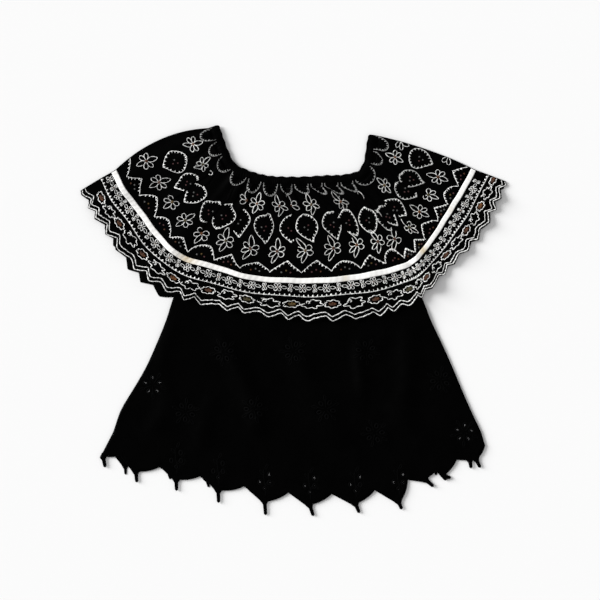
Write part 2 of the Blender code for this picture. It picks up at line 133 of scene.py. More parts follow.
# Body
ARMHOLES = (           # y, left x, right x
    (278, -127, 129.5), (240, -122, 132), (195, -125, 135),
    (150, -133, 143), (110, -148, 156))
SIDE_SEAMS = (         # y, left x, right x
    (78, -163.5, 173), (27, -181.5, 196), (0, -190, 206.5), (-36, -204.5, 223.5),
    (-72, -221, 239.5), (-108, -242, 254.5), (-132, -256.5, 265),
    (-168, -269.5, 282))
FRONT_HEM = (          # valley x, y, root x, y, tip x, y
    (-285.5, -199, -284.5, -205, -281.5, -220.5),
    (-259, -202, -235.5, -227, -234, -243),
    (-197.5, -218.5, -175, -239, -174.5, -255.5),
    (-136, -232, -112, -255, -111.5, -273.5),
    (-73, -248.5, -42.5, -271.5, -41, -292),
    (-7, -258, 25, -277, 30.5, -293.5),
    (58, -260, 93.5, -275, 99.5, -289),
    (122.5, -254.5, 158, -271.5, 163, -283.5),
    (171.5, -239, 198.5, -239, 210.5, -249.5),
    (214, -225, 227.5, -235.5, 236.5, -236),
    (245, -209, 265, -209, 267, -222),
    (269.5, -208.5, 274, -207.5, 280.5, -221))
FRONT_CORNER = (287.5, -187.0)
BACK_HEM = (           # valley x, y, root x, y, tip x, y
    (-271, -199.5, -251.5, -219, -251, -232),
    (-220.5, -205.5, -187, -226.5, -184, -239),
    (-157.5, -217.5, -130, -238, -126, -251),
    (-97.5, -222, -64.5, -241.5, -64, -258),
    (-31.5, -224, 4.5, -246, 7.5, -261.5),
    (39, -226, 72, -246, 76.5, -261),
    (105, -224, 139.5, -243, 143, -256.5),
    (166.5, -219, 187.5, -226, 189, -236),
    (202.5, -213, 213.5, -222, 214.5, -233),
    (225, -202.5, 250.5, -197, 251, -205.5))
BACK_CORNER = (283.5, -187.5)
SCALLOP_BOWS = (0.0, 0.07)      # of a scallop's left and right side, by its length
TAIL_HALF_WIDTH = 2.2
TAIL_FLARE = 4.5       # length of the flare at a tail's root
SPRIG_PETALS = 5
SPRIG_RADIUS = 11.0
PETAL_HOLE = (7.0, 4.8)         # length and width
BODY_SPRIGS = (        # x, y, turn in degrees, 1 where the back is cut too
    (-210, -97.5, 20, 1), (-160.5, -138, 50, 0), (-103.5, -48, 10, 0),
    (-58.5, -133.5, 35, 0), (1.5, -47, 0, 0), (49.5, -133.5, 60, 0),
    (109.5, -47, 25, 0), (123, -169.5, 5, 0), (221, -90, 45, 0),
    (257, -168.5, 15, 1))
HEM_SPRIG = (          # x and y from the tail's root, length, width
    (7, 40, 6.8, 5), (7.5, 28, 6.8, 5.2), (-7, 28.5, 6.6, 4.8), (0.5, 19, 5, 4.4))
HEM_SPRIG_ROWS = range(2, 8)
LEAF = (8.8, 3.4)
LEAF_RADIUS = 17.0
LEAF_SIDES = 18
STEM = np.linspace(2.5, 12.5, 8)    # distances from the sprig's middle
HEM_STEM = np.linspace(6.0, 48.0, 8)
HEM_LEAF = (8.4, -3.2)      # sewn the other way round
HEM_LEAF_AWAY = 6.5
HEM_LEAVES = ((46.0, 0.5), (38.0, -0.7), (22.0, 0.8))   # height over the tail's root, lean
HEM_SHARES = np.linspace(0.08, 0.92, 12)    # points along the side of a scallop
FRONT_CELL = 4.2       # spacing of the points inside a panel
BACK_CELL = 7.0
FOLDS = (              # top x, y, bottom x, y, width, height
    (-112, 8, -52, -165, 15, 6), (-34, 0, 78, -180, 20, 5.2),
    (102, -10, 100, -110, 10, 4.6), (172, 5, 166, -125, 15, 4.8),
    (-176, 5, -196, -75, 12, 3.2), (-190, -120, -215, -175, 16, 2.6),
    (150, -130, 205, -190, 15, 3.4), (-120, -110, -138, -200, 13, 2.4))
FOLD_RISE = 45.0       # distance over which a fold rises at its ends
WITH_HOLES_LEFT_OUT = 2         # what the triangulation gives back

# Colours, red, green and blue, and patterns of the cloth
DARK_COTTON = (0.0002, 0.0002, 0.0002, 1.0)
WORN_COTTON = (0.0008, 0.0008, 0.0008, 1.0)
WORN_BODY = (0.0007, 0.0007, 0.0007, 1.0)
# The tape's own white, and the warm grey-cream painted over it as shade at its kinks, where it twists
TAPE_WHITE = np.array((0.88, 0.87, 0.85))
TAPE_KINK_SHADE = np.array((0.62, 0.52, 0.36))
SHADED_TAPE_KINKS = (                # repeat, width in repeats, amount of painted shade
    (3.15, 0.28, 1.0), (10.55, 0.20, 1.1), (7.35, 0.10, 0.5), (12.4, 0.15, 0.3))
WEAVE = 0.0008                  # pitch of the cotton's threads in metres
WAVE_PITCH = 0.314              # a wave texture of scale 1 has a band every 0.314 units
FLOOR_PAPER = (0.86, 0.86, 0.86, 1.0)
WHITE_THREAD = (0.96, 0.96, 0.94)
BLACK_THREAD = (0.0009, 0.0009, 0.0010)
BROWN = (0.090, 0.030, 0.009)
ORANGE = (0.17, 0.058, 0.010)
OLIVE = (0.065, 0.052, 0.014)
GOLD = (0.115, 0.070, 0.016)
ROSE = (0.085, 0.030, 0.032)
SHADE_THREAD = (0.13, 0.13, 0.125)
CENTRES = (BROWN, BROWN, GOLD, OLIVE, ORANGE, OLIVE, BROWN, BROWN, GOLD, BROWN, ORANGE)

# Rows of the flounce's embroidery: distance from the casing along a rib
HALF_RING_ROW = -6.0
CASING_PRINT = -0.036           # share at which the half rings start, on the casing
HIGH_FLOWER_ROW = 27.0
RING_ROW = 61.0
LOW_FLOWER_ROW = 95.0
ARCH_ROW = 129.0
ARCH_RISE = 18.5
CHAIN_ROW = 151.3
COMB_ROW = 163.6
BLOB_ROW = 175.5
INNER_ZIGZAG_ROW = 189.3
OUTER_ZIGZAG_ROW = 195.2
RING_SIZE = (16.2, 21.8)        # half width and half height
HALF_RING_SIZE = (11.4, 18.0)
RING_TEETH = 22
HALF_RING_TEETH = 10
TOOTH_TAPER = np.array([1.0, 0.8, 0.25])
RING_REACH = np.array([0.0, 1.5, 2.8])      # lengths at the points of a tooth
HALF_RING_REACH = np.array([0.0, 1.3, 2.4])
COMB_REACH = np.array([0.0, 1.7, 3.2])
ARCH_TOOTH = 2.6
ARCH_TOOTH_STEP = 0.082         # in repeats
RING_LINE = 0.95                # widths of the sewn lines and teeth
HALF_RING_LINE = 0.75
FLOWER_LINE = 0.85
ARCH_LINE = 1.05
CHAIN_LINE = 0.85
LEAF_LINE = 0.75
COMB_LINE = 1.0
BLOB_LINE = 1.1
RING_TOOTH = 1.9
ARCH_TOOTH_LINE = 2.1
COMB_TOOTH = 2.6
EDGE_LINE = (1.3, 0.6)          # width and height
HIGH_FLOWER = 31.5              # heights of the flowers
LOW_FLOWER = 36.0
PETALS = (                      # turn in degrees, length and width by the flower's height, pointed
    (0.0, 0.46, 0.22, True), (180.0, 0.50, 0.24, True), (58.0, 0.33, 0.235, False),
    (-58.0, 0.33, 0.235, False), (113.0, 0.32, 0.235, False), (-113.0, 0.32, 0.235, False))
ARCH_KNOTS = (                  # offset in repeats, drop, colours by turns
    (-0.12, -1.7, (BROWN, SHADE_THREAD, ROSE)), (0.0, -4.5, (SHADE_THREAD, GOLD, ROSE)),
    (0.11, -1.5, (SHADE_THREAD, ROSE, BROWN)))
RING_KNOTS = (                  # x, y, colours by turns
    (-3.5, -1.0, (SHADE_THREAD, ROSE)), (3.0, -3.0, (ROSE, SHADE_THREAD)),
    (0.5, 3.5, (ROSE, ROSE, SHADE_THREAD)))
BLOB_SATIN = (                  # x, y, half width and half height
    (0.0, 0.5, 5.4, 2.0), (-3.4, -0.7, 2.3, 1.9), (0.6, -1.6, 2.1, 1.5), (3.8, -0.2, 2.3, 1.8))
BLOB_COLOURS = (BROWN, BROWN, BROWN, ORANGE, BROWN, OLIVE, GOLD, BROWN, BROWN, OLIVE)
ZIGZAGS = (                     # row, depth, width of the line, phase in repeats
    (INNER_ZIGZAG_ROW, 7.2, 1.15, 0.02), (OUTER_ZIGZAG_ROW, 8.0, 1.3, 0.0))
DAISY_TURNS = (-146.0, -38.0, 38.0, 146.0)      # degrees
COMB_STEP = 0.114               # between teeth, in repeats
CHAIN_STEP = 0.30               # between daisies
THREAD_LIFT = 0.5               # threads lie this far above the cloth's underside
DOT_LIFT = 0.45
EDGE_THREAD_LIFT = 0.2
CASING_THREAD_LIFT = 0.1        # over the casing's upper side
EDGE_INSET = 0.002              # share of the depth from the overcast edge to the cloth's

# Section of a thread: half of its width across and its height up
SECTION = np.array([(-1.0, 0.0), (-0.6, 0.8), (0.0, 1.0), (0.6, 0.8), (1.0, 0.0), (0.0, -0.25)])
DOME_CIRCLES = np.radians((25.0, 55.0, 90.0))     # angles from the top of a satin dot
DOME_SIDES = 12
DOME_TWIST = 3.0                # UV from a dot's middle to its rim

# Grids: the field of the front flounce, where the layers below it are worked out, the shown pieces
FIELD_REPEATS = 1171
FIELD_SHARES = 209
DEEPEST = 1.04                  # share down to which the field reaches, past the longest tooth
ROUGH_REPEATS = 10              # every tenth repeat of the field
ROUGH_SHARES = 8                # and every eighth share
FLOUNCE_COLUMNS = 469
FRONT_ROWS = 81
BACK_ROWS = 33
BACK_TOOTH_SHIFT = 0.13         # in repeats
TOOTHED_FROM = 0.93             # share from which the rows move with the teeth
TAPE_GRID = (9, 880)            # points across and along
CASING_GRID = (1100, 30)        # points along and round
LINE_POINTS = 936               # points along a sewn line from shoulder to shoulder
COMB_POINTS = 700
PETAL_POINTS = 18
LOOP_POINTS = 14
BLOB_POINTS = 72
EDGE_POINTS = 1170

# Light and camera
SUN_DIRECTION = (1.0, -0.40, -0.45)
SUN_STRENGTH = 4.90
SUN_WIDTH = 32.0                # degrees, for soft shadows
SKY_STRENGTH = 0.522
FLOOR_HALF = 4000.0             # half of its side
LENS = 120.0
SENSOR_WIDTH = 36.0
CAMERA_PLACE = (0.0105, 0.030, 3.0)     # metres


def ease(share):
    """Smooth step: 3 s squared minus 2 s cubed, held at 0 and 1."""
    share = np.clip(share, 0.0, 1.0)
    return share * share * (3.0 - 2.0 * share)


def through(stops, values, at):
    """Smooth curve through a table's rows: cubics whose slopes come from the neighbours."""
    stops, values, at = np.asarray(stops), np.asarray(values, float), np.asarray(at, float)
    slopes = np.gradient(values, stops, axis=0)
    cell = np.clip(np.searchsorted(stops, at, side="right") - 1, 0, len(stops) - 2)
    width = stops[cell + 1] - stops[cell]
    u = (at - stops[cell]) / width
    if values.ndim > 1:
        u, width = u[..., None], width[..., None]
    start, end = values[cell], values[cell + 1]
    rise = (2 * u ** 3 - 3 * u ** 2 + 1) * start + (3 * u ** 2 - 2 * u ** 3) * end
    return rise + width * ((u ** 3 - 2 * u ** 2 + u) * slopes[cell] + (u ** 3 - u ** 2) * slopes[cell + 1])


def once_round(count):
    """Angles of a count of even steps once round, from 0."""
    return np.linspace(0.0, 2.0 * pi, count, endpoint=False)


def unit(vectors):
    """Vectors divided by their length."""
    return vectors / np.maximum(np.linalg.norm(vectors, axis=-1, keepdims=True), 1e-12)


def neck_at(share, drop=0.0):
    """Points of the neck edge at shares of its length, and the directions into the cloth."""
    rows = np.array(NECK_EDGE) - (0.0, drop)
    steps = np.linalg.norm(np.diff(rows, axis=0), axis=1)
    stops = np.concatenate([[0.0], np.cumsum(steps)]) / steps.sum()
    near = 0.008
    share = np.clip(share, 0.0, 1.0)
    before, after = np.clip(share - near, 0.0, 1.0), np.clip(share + near, 0.0, 1.0)
    along = unit(through(stops, rows, after) - through(stops, rows, before))
    return through(stops, rows, share), np.stack([along[..., 1], -along[..., 0]], axis=-1)


def tooth_wave(repeat):
    """Saw of the lower edge: 1/2 on a tooth, down to -1/2 in a notch past the middle."""
    sway = 0.14 * sin(2.3 * repeat) + 0.10 * sin(5.3 * repeat)
    phase = (repeat * TEETH_PER_REPEAT + sway) % 1.0
    return np.where(phase < NOTCH_PHASE, 0.5 - phase / NOTCH_PHASE,
                    (phase - NOTCH_PHASE) / (1.0 - NOTCH_PHASE) - 0.5)


def flounce_plan(repeat, share, back=False):
    """Places on the flounce from above: each rib is the parabola through casing, tape and edge."""
    rib = through(RIBS[:, 0], RIBS[:, 1:], repeat)
    tape, edge, bow, reach = rib[..., 0:2], rib[..., 2:4], rib[..., 4], rib[..., 5]
    neck, inwards = neck_at((repeat - FIRST) / SPAN, BACK_NECK_DROP if back else 0.0)
    neck = neck + inwards * (CASING_WIDTH + NECK_SEAM)
    if back:
        edge = edge + unit(edge - tape) * reach[..., None]
    t = share
    a = (t - TAPE_SHARE) * (t - 1.0) / TAPE_SHARE
    b = t * (t - 1.0) / (TAPE_SHARE * (TAPE_SHARE - 1.0))
    c = t * (t - TAPE_SHARE) / (1.0 - TAPE_SHARE)
    rise = bow * np.maximum(0.0, 4.0 * t * (TAPE_SHARE - t) / TAPE_SHARE ** 2)
    plan = a[..., None] * neck + b[..., None] * tape + c[..., None] * edge
    plan[..., 1] += rise
    return plan


def gather_turn(repeat):
    """Count of the gathers from the left shoulder, uneven in their spacing."""
    return (repeat - FIRST) / SPAN * NECK_GATHERS + 0.22 * sin(1.9 * repeat)


def flounce_rise(repeat, share):
    """Gathers that sink away from the casing, waves that grow to the edge, a lift at the edge."""
    angle = 2.0 * pi * gather_turn(repeat)
    uneven = 0.75 + 0.25 * sin(2.3 * repeat + 1.0) + 0.15 * sin(5.1 * repeat)
    rise = GATHER_HEIGHT * uneven * (0.5 - 0.5 * cos(angle)) * exp(-share / GATHER_FADE)
    for middle, width, height, lean, start in WAVES:
        off = (repeat - middle - lean * (1.0 - share)) / width
        rise = rise + height * exp(-off * off) * ease((share - start + 0.2) / (1.2 - start))
    rise = rise + EDGE_LIFT * ease((share - 0.6) / 0.4)
    end = np.minimum(repeat - FIRST, LAST - repeat) / SPAN
    return rise * ease(end / 0.035)


def creases(x, y, size, seed):
    """Fine creases: ridges of several bent sine fields, each one minus the size of its sine."""
    rng = np.random.default_rng(seed)
    total = np.zeros_like(x)
    for angle, phase, stretch in zip(rng.uniform(0.0, pi, 5), rng.uniform(0.0, 6.0, 5),
                                     rng.uniform(0.7, 1.7, 5)):
        across = x * cos(angle) + y * sin(angle)
        along = y * cos(angle) - x * sin(angle)
        bend = 1.3 * sin(along / (2.1 * size * stretch) + phase)
        field = sin(across / (size * stretch) + bend + phase)
        total += (1.0 - np.abs(field)) ** 2 * (0.5 + 0.5 * sin(along / (3.3 * size) + 2.0 * phase))
    return total / 5.0


def outside_distance(points, outline):
    """How far each point lies outside a closed outline, and how far inside, 0 elsewhere."""
    outside, inside = [], []
    start, run = outline, np.roll(outline, -1, axis=0) - outline
    rise = np.where(run[:, 1] == 0.0, 1.0, run[:, 1])
    for part in np.array_split(points, max(1, len(points) // 4000)):
        offset = part[:, None, :] - start[None]
        share = np.clip((offset * run).sum(2) / (run ** 2).sum(1), 0.0, 1.0)
        distance = np.linalg.norm(offset - share[..., None] * run, axis=2).min(1)
        above = (start[:, 1] > part[:, None, 1]) != (start[:, 1] + run[:, 1] > part[:, None, 1])
        crossing = start[:, 0] + (part[:, None, 1] - start[:, 1]) * run[:, 0] / rise
        within = (above & (part[:, None, 0] < crossing)).sum(1) % 2 == 1
        outside.append(np.where(within, 0.0, distance))
        inside.append(np.where(within, distance, 0.0))
    return np.concatenate(outside), np.concatenate(inside)


def rest_on(points, outline, step):
    """Level of a layer over an outline: the step over it, eased down to 0 away from it."""
    outside = outside_distance(points, outline)[0]
    return step * (1.0 - ease((outside - DROP_START) / (DROP_END - DROP_START)))


def scallop_side(start, end, bow, shares):
    """Points between the ends of a scallop's side, bowed away from the cloth."""
    run = end - start
    middle = 0.5 * (start + end) + 2.0 * bow * np.array([run[1], -run[0]])
    return [start * (1 - s) ** 2 + 2 * middle * s * (1 - s) + end * s ** 2 for s in shares]


def hem(rows, corner, shares):
    """Hem from left to right: for each row a scallop with a tail that ends round."""
    points = []
    table = np.array(rows)
    for index, row in enumerate(table):
        valley, root, tip = row[0:2], row[2:4], row[4:6]
        after = table[index + 1, 0:2] if index + 1 < len(table) else np.array(corner)
        down = unit(tip - root)
        across = np.array([-down[1], down[0]]) * TAIL_HALF_WIDTH
        left, right = root - 2.0 * across, root + 2.0 * across
        neck = root + TAIL_FLARE * down
        points += [valley, *scallop_side(valley, left, SCALLOP_BOWS[0], shares)]
        points += [left + 0.2 * TAIL_FLARE * down, neck - across]
        points += [tip - 0.8 * across - 1.5 * down, tip, tip + 0.8 * across - 1.5 * down]
        points += [neck + across, right + 0.2 * TAIL_FLARE * down]
        points += scallop_side(right, after, SCALLOP_BOWS[1], shares)
    return points + [np.array(corner)]


def body_outline(hem_points, back=False):
    """Closed outline of a body panel: neck, right armhole and seam, hem, left seam and armhole."""
    neck, inwards = neck_at(np.linspace(0.0, 1.0, 59), BACK_NECK_DROP if back else 0.0)
    top = neck + inwards * (CASING_WIDTH + NECK_SEAM)
    sides = np.array(ARMHOLES + SIDE_SEAMS)
    height = np.linspace(sides[1, 0], sides[-1, 0], 40)
    left_x = through(-sides[:, 0], sides[:, 1], -height)
    right_x = through(-sides[:, 0], sides[:, 2], -height)
    right = np.stack([right_x, height], axis=1)
    left = np.stack([left_x, height], axis=1)[::-1]
    return np.concatenate([top[1:-1], right, hem_points[::-1], left])


def flounce_outline(back):
    """Closed outline of one side of the flounce, once round."""
    repeat, share = np.linspace(FIRST, LAST, 60), np.linspace(0.0, 1.0, 6)
    rows = flounce_plan(*np.meshgrid(repeat, share), back)
    return np.concatenate([rows[0], rows[1:-1, -1], rows[-1][::-1], rows[1:-1, 0][::-1]])


FRONT_OUTLINE = body_outline(hem(FRONT_HEM, FRONT_CORNER, (0.33, 0.67)))
BACK_OUTLINE = body_outline(hem(BACK_HEM, BACK_CORNER, (0.33, 0.67)), back=True)


def cell_of(stops, at):
    """Number of the cell of evenly spaced stops that a value lies in, and how far along it is."""
    place = (at - stops[0]) / (stops[1] - stops[0])
    number = np.clip(np.floor(place).astype(int), 0, len(stops) - 2)
    return number, np.clip(place - number, 0.0, 1.0)


class FlounceField:
    """The front flounce worked out once on a fine grid, and read between its points.

    From above the flounce is shorter at the casing than its cloth is. The rest is tucked into
    tucks beside the gathers, where it takes next to no room, and in waves too fine to hide any.
    """

    def __init__(self):
        self.repeats = np.linspace(FIRST, LAST, FIELD_REPEATS)
        self.shares = np.linspace(0.0, DEEPEST, FIELD_SHARES)
        k, t = np.meshgrid(self.repeats, self.shares, indexing="ij")
        self.seen, lips = self.tucks(k, t)
        moved = self.squeezed()
        plan = flounce_plan(moved, t)
        rough_k, rough_t = slice(None, None, ROUGH_REPEATS), slice(None, None, ROUGH_SHARES)
        coarse = plan[rough_k, rough_t]
        level = rest_on(coarse.reshape(-1, 2), FRONT_OUTLINE, 2.0 * LAYER).reshape(coarse.shape[:2])
        rows = np.stack([np.interp(self.shares, self.shares[rough_t], row) for row in level])
        level = np.stack([np.interp(self.repeats, self.repeats[rough_k], column) for column in rows.T], 1)
        self.shown, self.moved = self.seen.mean(0), moved
        self.cloth = np.stack([np.interp(self.repeats, row, self.repeats) for row in moved.T], 1)
        self.turns = (moved[:, 0] - FIRST) / SPAN
        fine = 0.9 * creases(plan[..., 0], plan[..., 1], 9.0, 5) * ease(t / 0.1)
        z = LAYER + FINE_LIFT + level + flounce_rise(moved, t) + fine + lips
        self.points = np.concatenate([plan, z[..., None]], axis=2)
        along, down = np.gradient(self.points, axis=0), np.gradient(self.points, axis=1)
        self.normals = unit(np.cross(down, along))

    def lengths(self, k, t):
        """Length from above along each share, from the left shoulder."""
        steps = np.linalg.norm(np.diff(flounce_plan(k, t), axis=0, prepend=0.0), axis=2)
        steps[0] = 0.0
        return steps.cumsum(0)

    def tucks(self, k, t):
        """How much of the cloth shows at each point, and the height of the lip beside a tuck."""
        hidden = 1.0 - self.lengths(k, t)[-1] / (REPEAT * SPAN)
        hidden = TUCK_SHARE * SPAN * np.clip(hidden, 0.0, 1.0)
        between = [(UPPER_START + UPPER_STEP * (column + 0.5), 0.0, 0.36, 0.06 + 0.02 * (column % 3))
                   for column in UPPER_COLUMNS[:-1]]
        middles, leans, weights, ends = np.array(DEEP_TUCKS + tuple(between)).T[:, :, None]
        weights = weights * (1.0 - ease((self.shares - ends) / 0.16))
        widths = hidden * weights / np.maximum(weights.sum(0), TUCK_WEIGHTS)
        seen, lips = np.ones_like(k), np.zeros_like(k)
        for middle, lean, width in zip(middles, leans, widths):
            off = k - middle - lean * t
            inside = ease((0.5 * width - np.abs(off)) / 0.02 + 0.5) * (width > 0.02)
            seen -= (1.0 - TUCKED) * inside
            past = off + 0.5 * width
            lip = exp(-(np.minimum(past, 0.0) / 0.16) ** 2) * (1.0 - ease(past / (width + 0.03)))
            lips += TUCK_LIP * lip * ease(width / 0.12)
        return np.clip(seen, TUCKED, 1.0), lips

    def squeezed(self):
        """Where each repeat lies from above: by the cloth that shows, and evenly above the tape."""
        shown = self.seen.cumsum(0)
        place = FIRST + SPAN * (shown - shown[:1]) / (shown[-1:] - shown[:1])
        tape = through(RIBS[:, 0], RIBS[:, 1:3], self.repeats)
        steps = np.linalg.norm(np.diff(tape, axis=0), axis=1)
        half = int(EVENED / (self.repeats[1] - self.repeats[0]))
        mean = np.convolve(np.pad(steps, half, mode="edge"), np.ones(2 * half + 1), "valid")
        length, even = np.append(0.0, steps.cumsum()), np.append(0.0, mean.cumsum())
        slid = np.interp(even / even[-1], length / length[-1], self.repeats)
        high = 1.0 - ease((self.shares - 0.4) / 0.35)
        return place + high * (np.interp(place, self.repeats, slid) - place)

    def read(self, values, repeat, share):
        """Values at any repeats and shares, straight between the grid's points."""
        (i, u), (j, v) = cell_of(self.repeats, repeat), cell_of(self.shares, share)
        if values.ndim == 3:
            u, v = u[..., None], v[..., None]
        low = values[i, j] * (1 - u) + values[i + 1, j] * u
        high = values[i, j + 1] * (1 - u) + values[i + 1, j + 1] * u
        return low * (1 - v) + high * v


FIELD = FlounceField()


def add_mesh(name, points, quads, triangles=None, uv=None, tint=None):
    """Object from arrays: points in millimetres, faces, and a UV and a tint for each point."""
    triangles = np.zeros((0, 3), int) if triangles is None else triangles
    mesh = bpy.data.meshes.new(name)
    loops = np.concatenate([quads.ravel(), triangles.ravel()]).astype(np.int32)
    sizes = np.concatenate([np.full(len(quads), 4), np.full(len(triangles), 3)])
    mesh.vertices.add(len(points))
    mesh.vertices.foreach_set("co", (points * MM).astype(np.float32).ravel())
    mesh.loops.add(len(loops))
    mesh.loops.foreach_set("vertex_index", loops)
    mesh.polygons.add(len(sizes))
    mesh.polygons.foreach_set("loop_start", (np.cumsum(sizes) - sizes).astype(np.int32))
    mesh.update(calc_edges=True)
    mesh.validate()
    if uv is not None:
        layer = mesh.uv_layers.new(name="UVMap")
        layer.data.foreach_set("uv", uv[loops].astype(np.float32).ravel())
    if tint is not None:
        colours = mesh.color_attributes.new("tint", "FLOAT_COLOR", "POINT")
        colours.data.foreach_set("color", np.column_stack([tint, np.ones(len(tint))]).ravel())
    mesh.shade_smooth()
    piece = bpy.data.objects.new(name, mesh)
    bpy.context.scene.collection.objects.link(piece)
    return piece


def grid_quads(rows, columns, wrap=False):
    """Faces of a grid of points, row after row, facing up where rows run down and columns right."""
    index = np.arange(rows * columns).reshape(rows, columns)
    if wrap:
        index = np.concatenate([index, index[:, :1]], axis=1)
    a, b, c, d = index[:-1, :-1], index[1:, :-1], index[1:, 1:], index[:-1, 1:]
    return np.stack([a, b, c, d], axis=-1).reshape(-1, 4)


def walled(piece, wall):
    """Gives a surface its wall, raised above it."""
    solidify = piece.modifiers.new("Wall", "SOLIDIFY")
    solidify.thickness = wall * MM
    solidify.offset = 1.0
    return piece


class Threads:
    """Gathers raised threads and satin dots into one mesh."""

    def __init__(self):
        self.batches, self.count = [], 0

    def keep(self, points, quads, triangles, uv, tint):
        """Adds one batch of points and faces, with a UV and a tint for each point."""
        self.batches.append((points, quads + self.count, triangles + self.count, uv, tint))
        self.count += len(points)

    def cords(self, points, normals, width, height, tint, closed=False, taper=1.0, glow=1.0):
        """Half-round cords along rows of points, on the cloth.

        The section lies across the path. The taper is its size and the glow its share of the tint.
        """
        lines, stations = points.shape[:2]
        along = np.gradient(points, axis=1)
        if closed:
            along = np.roll(points, -1, axis=1) - np.roll(points, 1, axis=1)
        side = unit(np.cross(unit(along), normals))
        scale, glow = (np.broadcast_to(value, (lines, stations)) for value in (taper, glow))
        across = side[:, :, None] * (SECTION[:, 0] * 0.5 * width)[:, None] * scale[..., None, None]
        up = normals[:, :, None] * (SECTION[:, 1] * height)[:, None] * (0.4 + 0.6 * scale)[..., None, None]
        made = (points[:, :, None] + across + up).reshape(-1, 3)
        ring = len(SECTION)
        index = np.arange(lines * stations * ring).reshape(lines, stations, ring)
        here = index if closed else index[:, :-1]
        there = np.roll(index, -1, axis=1) if closed else index[:, 1:]
        quads = np.stack([here, there, np.roll(there, -1, 2), np.roll(here, -1, 2)], -1).reshape(-1, 4)
        if not closed:
            first, last = index[:, 0], index[:, -1]
            caps = [first[:, [0, 1, 2, 3]], first[:, [0, 3, 4, 5]],
                    last[:, [3, 2, 1, 0]], last[:, [5, 4, 3, 0]]]
            quads = np.concatenate([quads] + caps)
        steps = np.linalg.norm(np.diff(points, axis=1, prepend=points[:, :1]), axis=2).cumsum(1)
        uv = np.stack(np.broadcast_arrays(steps[..., None], np.arange(ring) / ring), -1).reshape(-1, 2)
        tint = np.asarray(tint, float).reshape(-1, 1, 3) * glow[..., None]
        tint = np.broadcast_to(tint[:, :, None], (lines, stations, ring, 3))
        self.keep(made, quads[:, ::-1], np.zeros((0, 3), int), uv, tint.reshape(-1, 3))

    def dots(self, middles, axis_x, axis_y, normals, height, colours):
        """Low satin domes: circles of latitude round a middle, squashed along the normal."""
        rings, sides = DOME_CIRCLES, DOME_SIDES
        angles = once_round(sides)
        out = (cos(angles)[:, None, None] * axis_x + sin(angles)[:, None, None] * axis_y)
        parts = [middles + normals * height]
        parts += [middles + out[s] * sin(r) + normals * height * cos(r)
                  for r in rings for s in range(sides)]
        parts.append(middles - normals * 0.2 * height)
        made = np.stack(parts, axis=1)
        per = made.shape[1]
        base = np.arange(len(middles))[:, None, None] * per
        rim = 1 + np.arange(len(rings) * sides).reshape(len(rings), sides)
        after = np.roll(rim, -1, axis=1)
        quads = np.stack([rim[:-1], rim[1:], after[1:], after[:-1]], -1).reshape(-1, 4)
        top = np.stack([np.zeros(sides, int), rim[0], after[0]], -1)
        under = np.stack([np.full(sides, per - 1), after[-1], rim[-1]], -1)
        triangles = np.concatenate([top, under])
        circles = [(sin(r) * cos(a), sin(r) * sin(a)) for r in rings for a in angles]
        uv = DOME_TWIST * np.array([(0.0, 0.0), *circles, (0.0, 0.0)])
        self.keep(made.reshape(-1, 3), (quads + base).reshape(-1, 4), (triangles + base).reshape(-1, 3),
                  np.tile(uv, (len(middles), 1)), np.repeat(colours, per, axis=0))

    def make(self, name, finish, slot_name):
        """Turns everything kept so far into one piece."""
        return shown(add_mesh(name, *map(np.concatenate, zip(*self.batches))), finish, slot_name)


def casing_rise(share, u, crown, upper):
    """Height of a flattened tube over its underside's level: squashed ring, puckers, two seams."""
    wave = 0.5 - 0.5 * cos(2 * pi * (NECK_GATHERS * share + 0.2 * sin(17.0 * share)))
    fade = ease(np.minimum(share, 1.0 - share) / 0.04)
    swell = ease((u - 0.14) / 0.36) * ease((0.86 - u) / 0.36)
    thick = 1.15 * np.where(upper, 1.0, -1.0) * (4.0 * u * (1.0 - u)) ** 0.25
    turn = 104.0 * share + 0.5 * sin(31.0 * share) + 0.35 * sin(77.0 * share + 3.0 * u)
    pucker = (1.0 - np.abs(sin(pi * turn))) ** 1.5 * (0.6 + 0.4 * sin(41.0 * share + 6.0 * u))
    seams = exp(-((u - 0.17) / 0.035) ** 2) + exp(-((u - 0.83) / 0.035) ** 2)
    relief = np.where(upper, 0.55 * pucker * (4.0 * u * (1.0 - u)) ** 0.2 - 0.5 * seams, 0.0)
    height = 1.2 + fade * crown * swell * (0.35 + 0.65 * wave) + thick + fade * relief
    return height, wave * fade, pucker * fade


def on_flounce(repeat, share, lift=THREAD_LIFT):
    """Points on the upper side at a repeat and a share, and the normals; under 0 on the casing."""
    repeat = np.clip(repeat, FIRST, LAST)
    normals = unit(FIELD.read(FIELD.normals, repeat, share))
    points = FIELD.read(FIELD.points, repeat, share) + normals * lift
    over = share < 0.0
    if over.any():
        turn = np.interp(repeat[over], FIELD.repeats, FIELD.turns)
        edge, inwards = neck_at(turn)
        across = CASING_WIDTH + NECK_SEAM + share[over] * DEPTH
        rise = casing_rise(turn, across / CASING_SPREAD, CASING_CROWN, True)[0]
        height = CASING_LEVEL + rise + CASING_THREAD_LIFT
        points[over] = np.column_stack([edge + inwards * across[:, None], height])
        normals[over] = (0.0, 0.0, 1.0)
    return points, normals


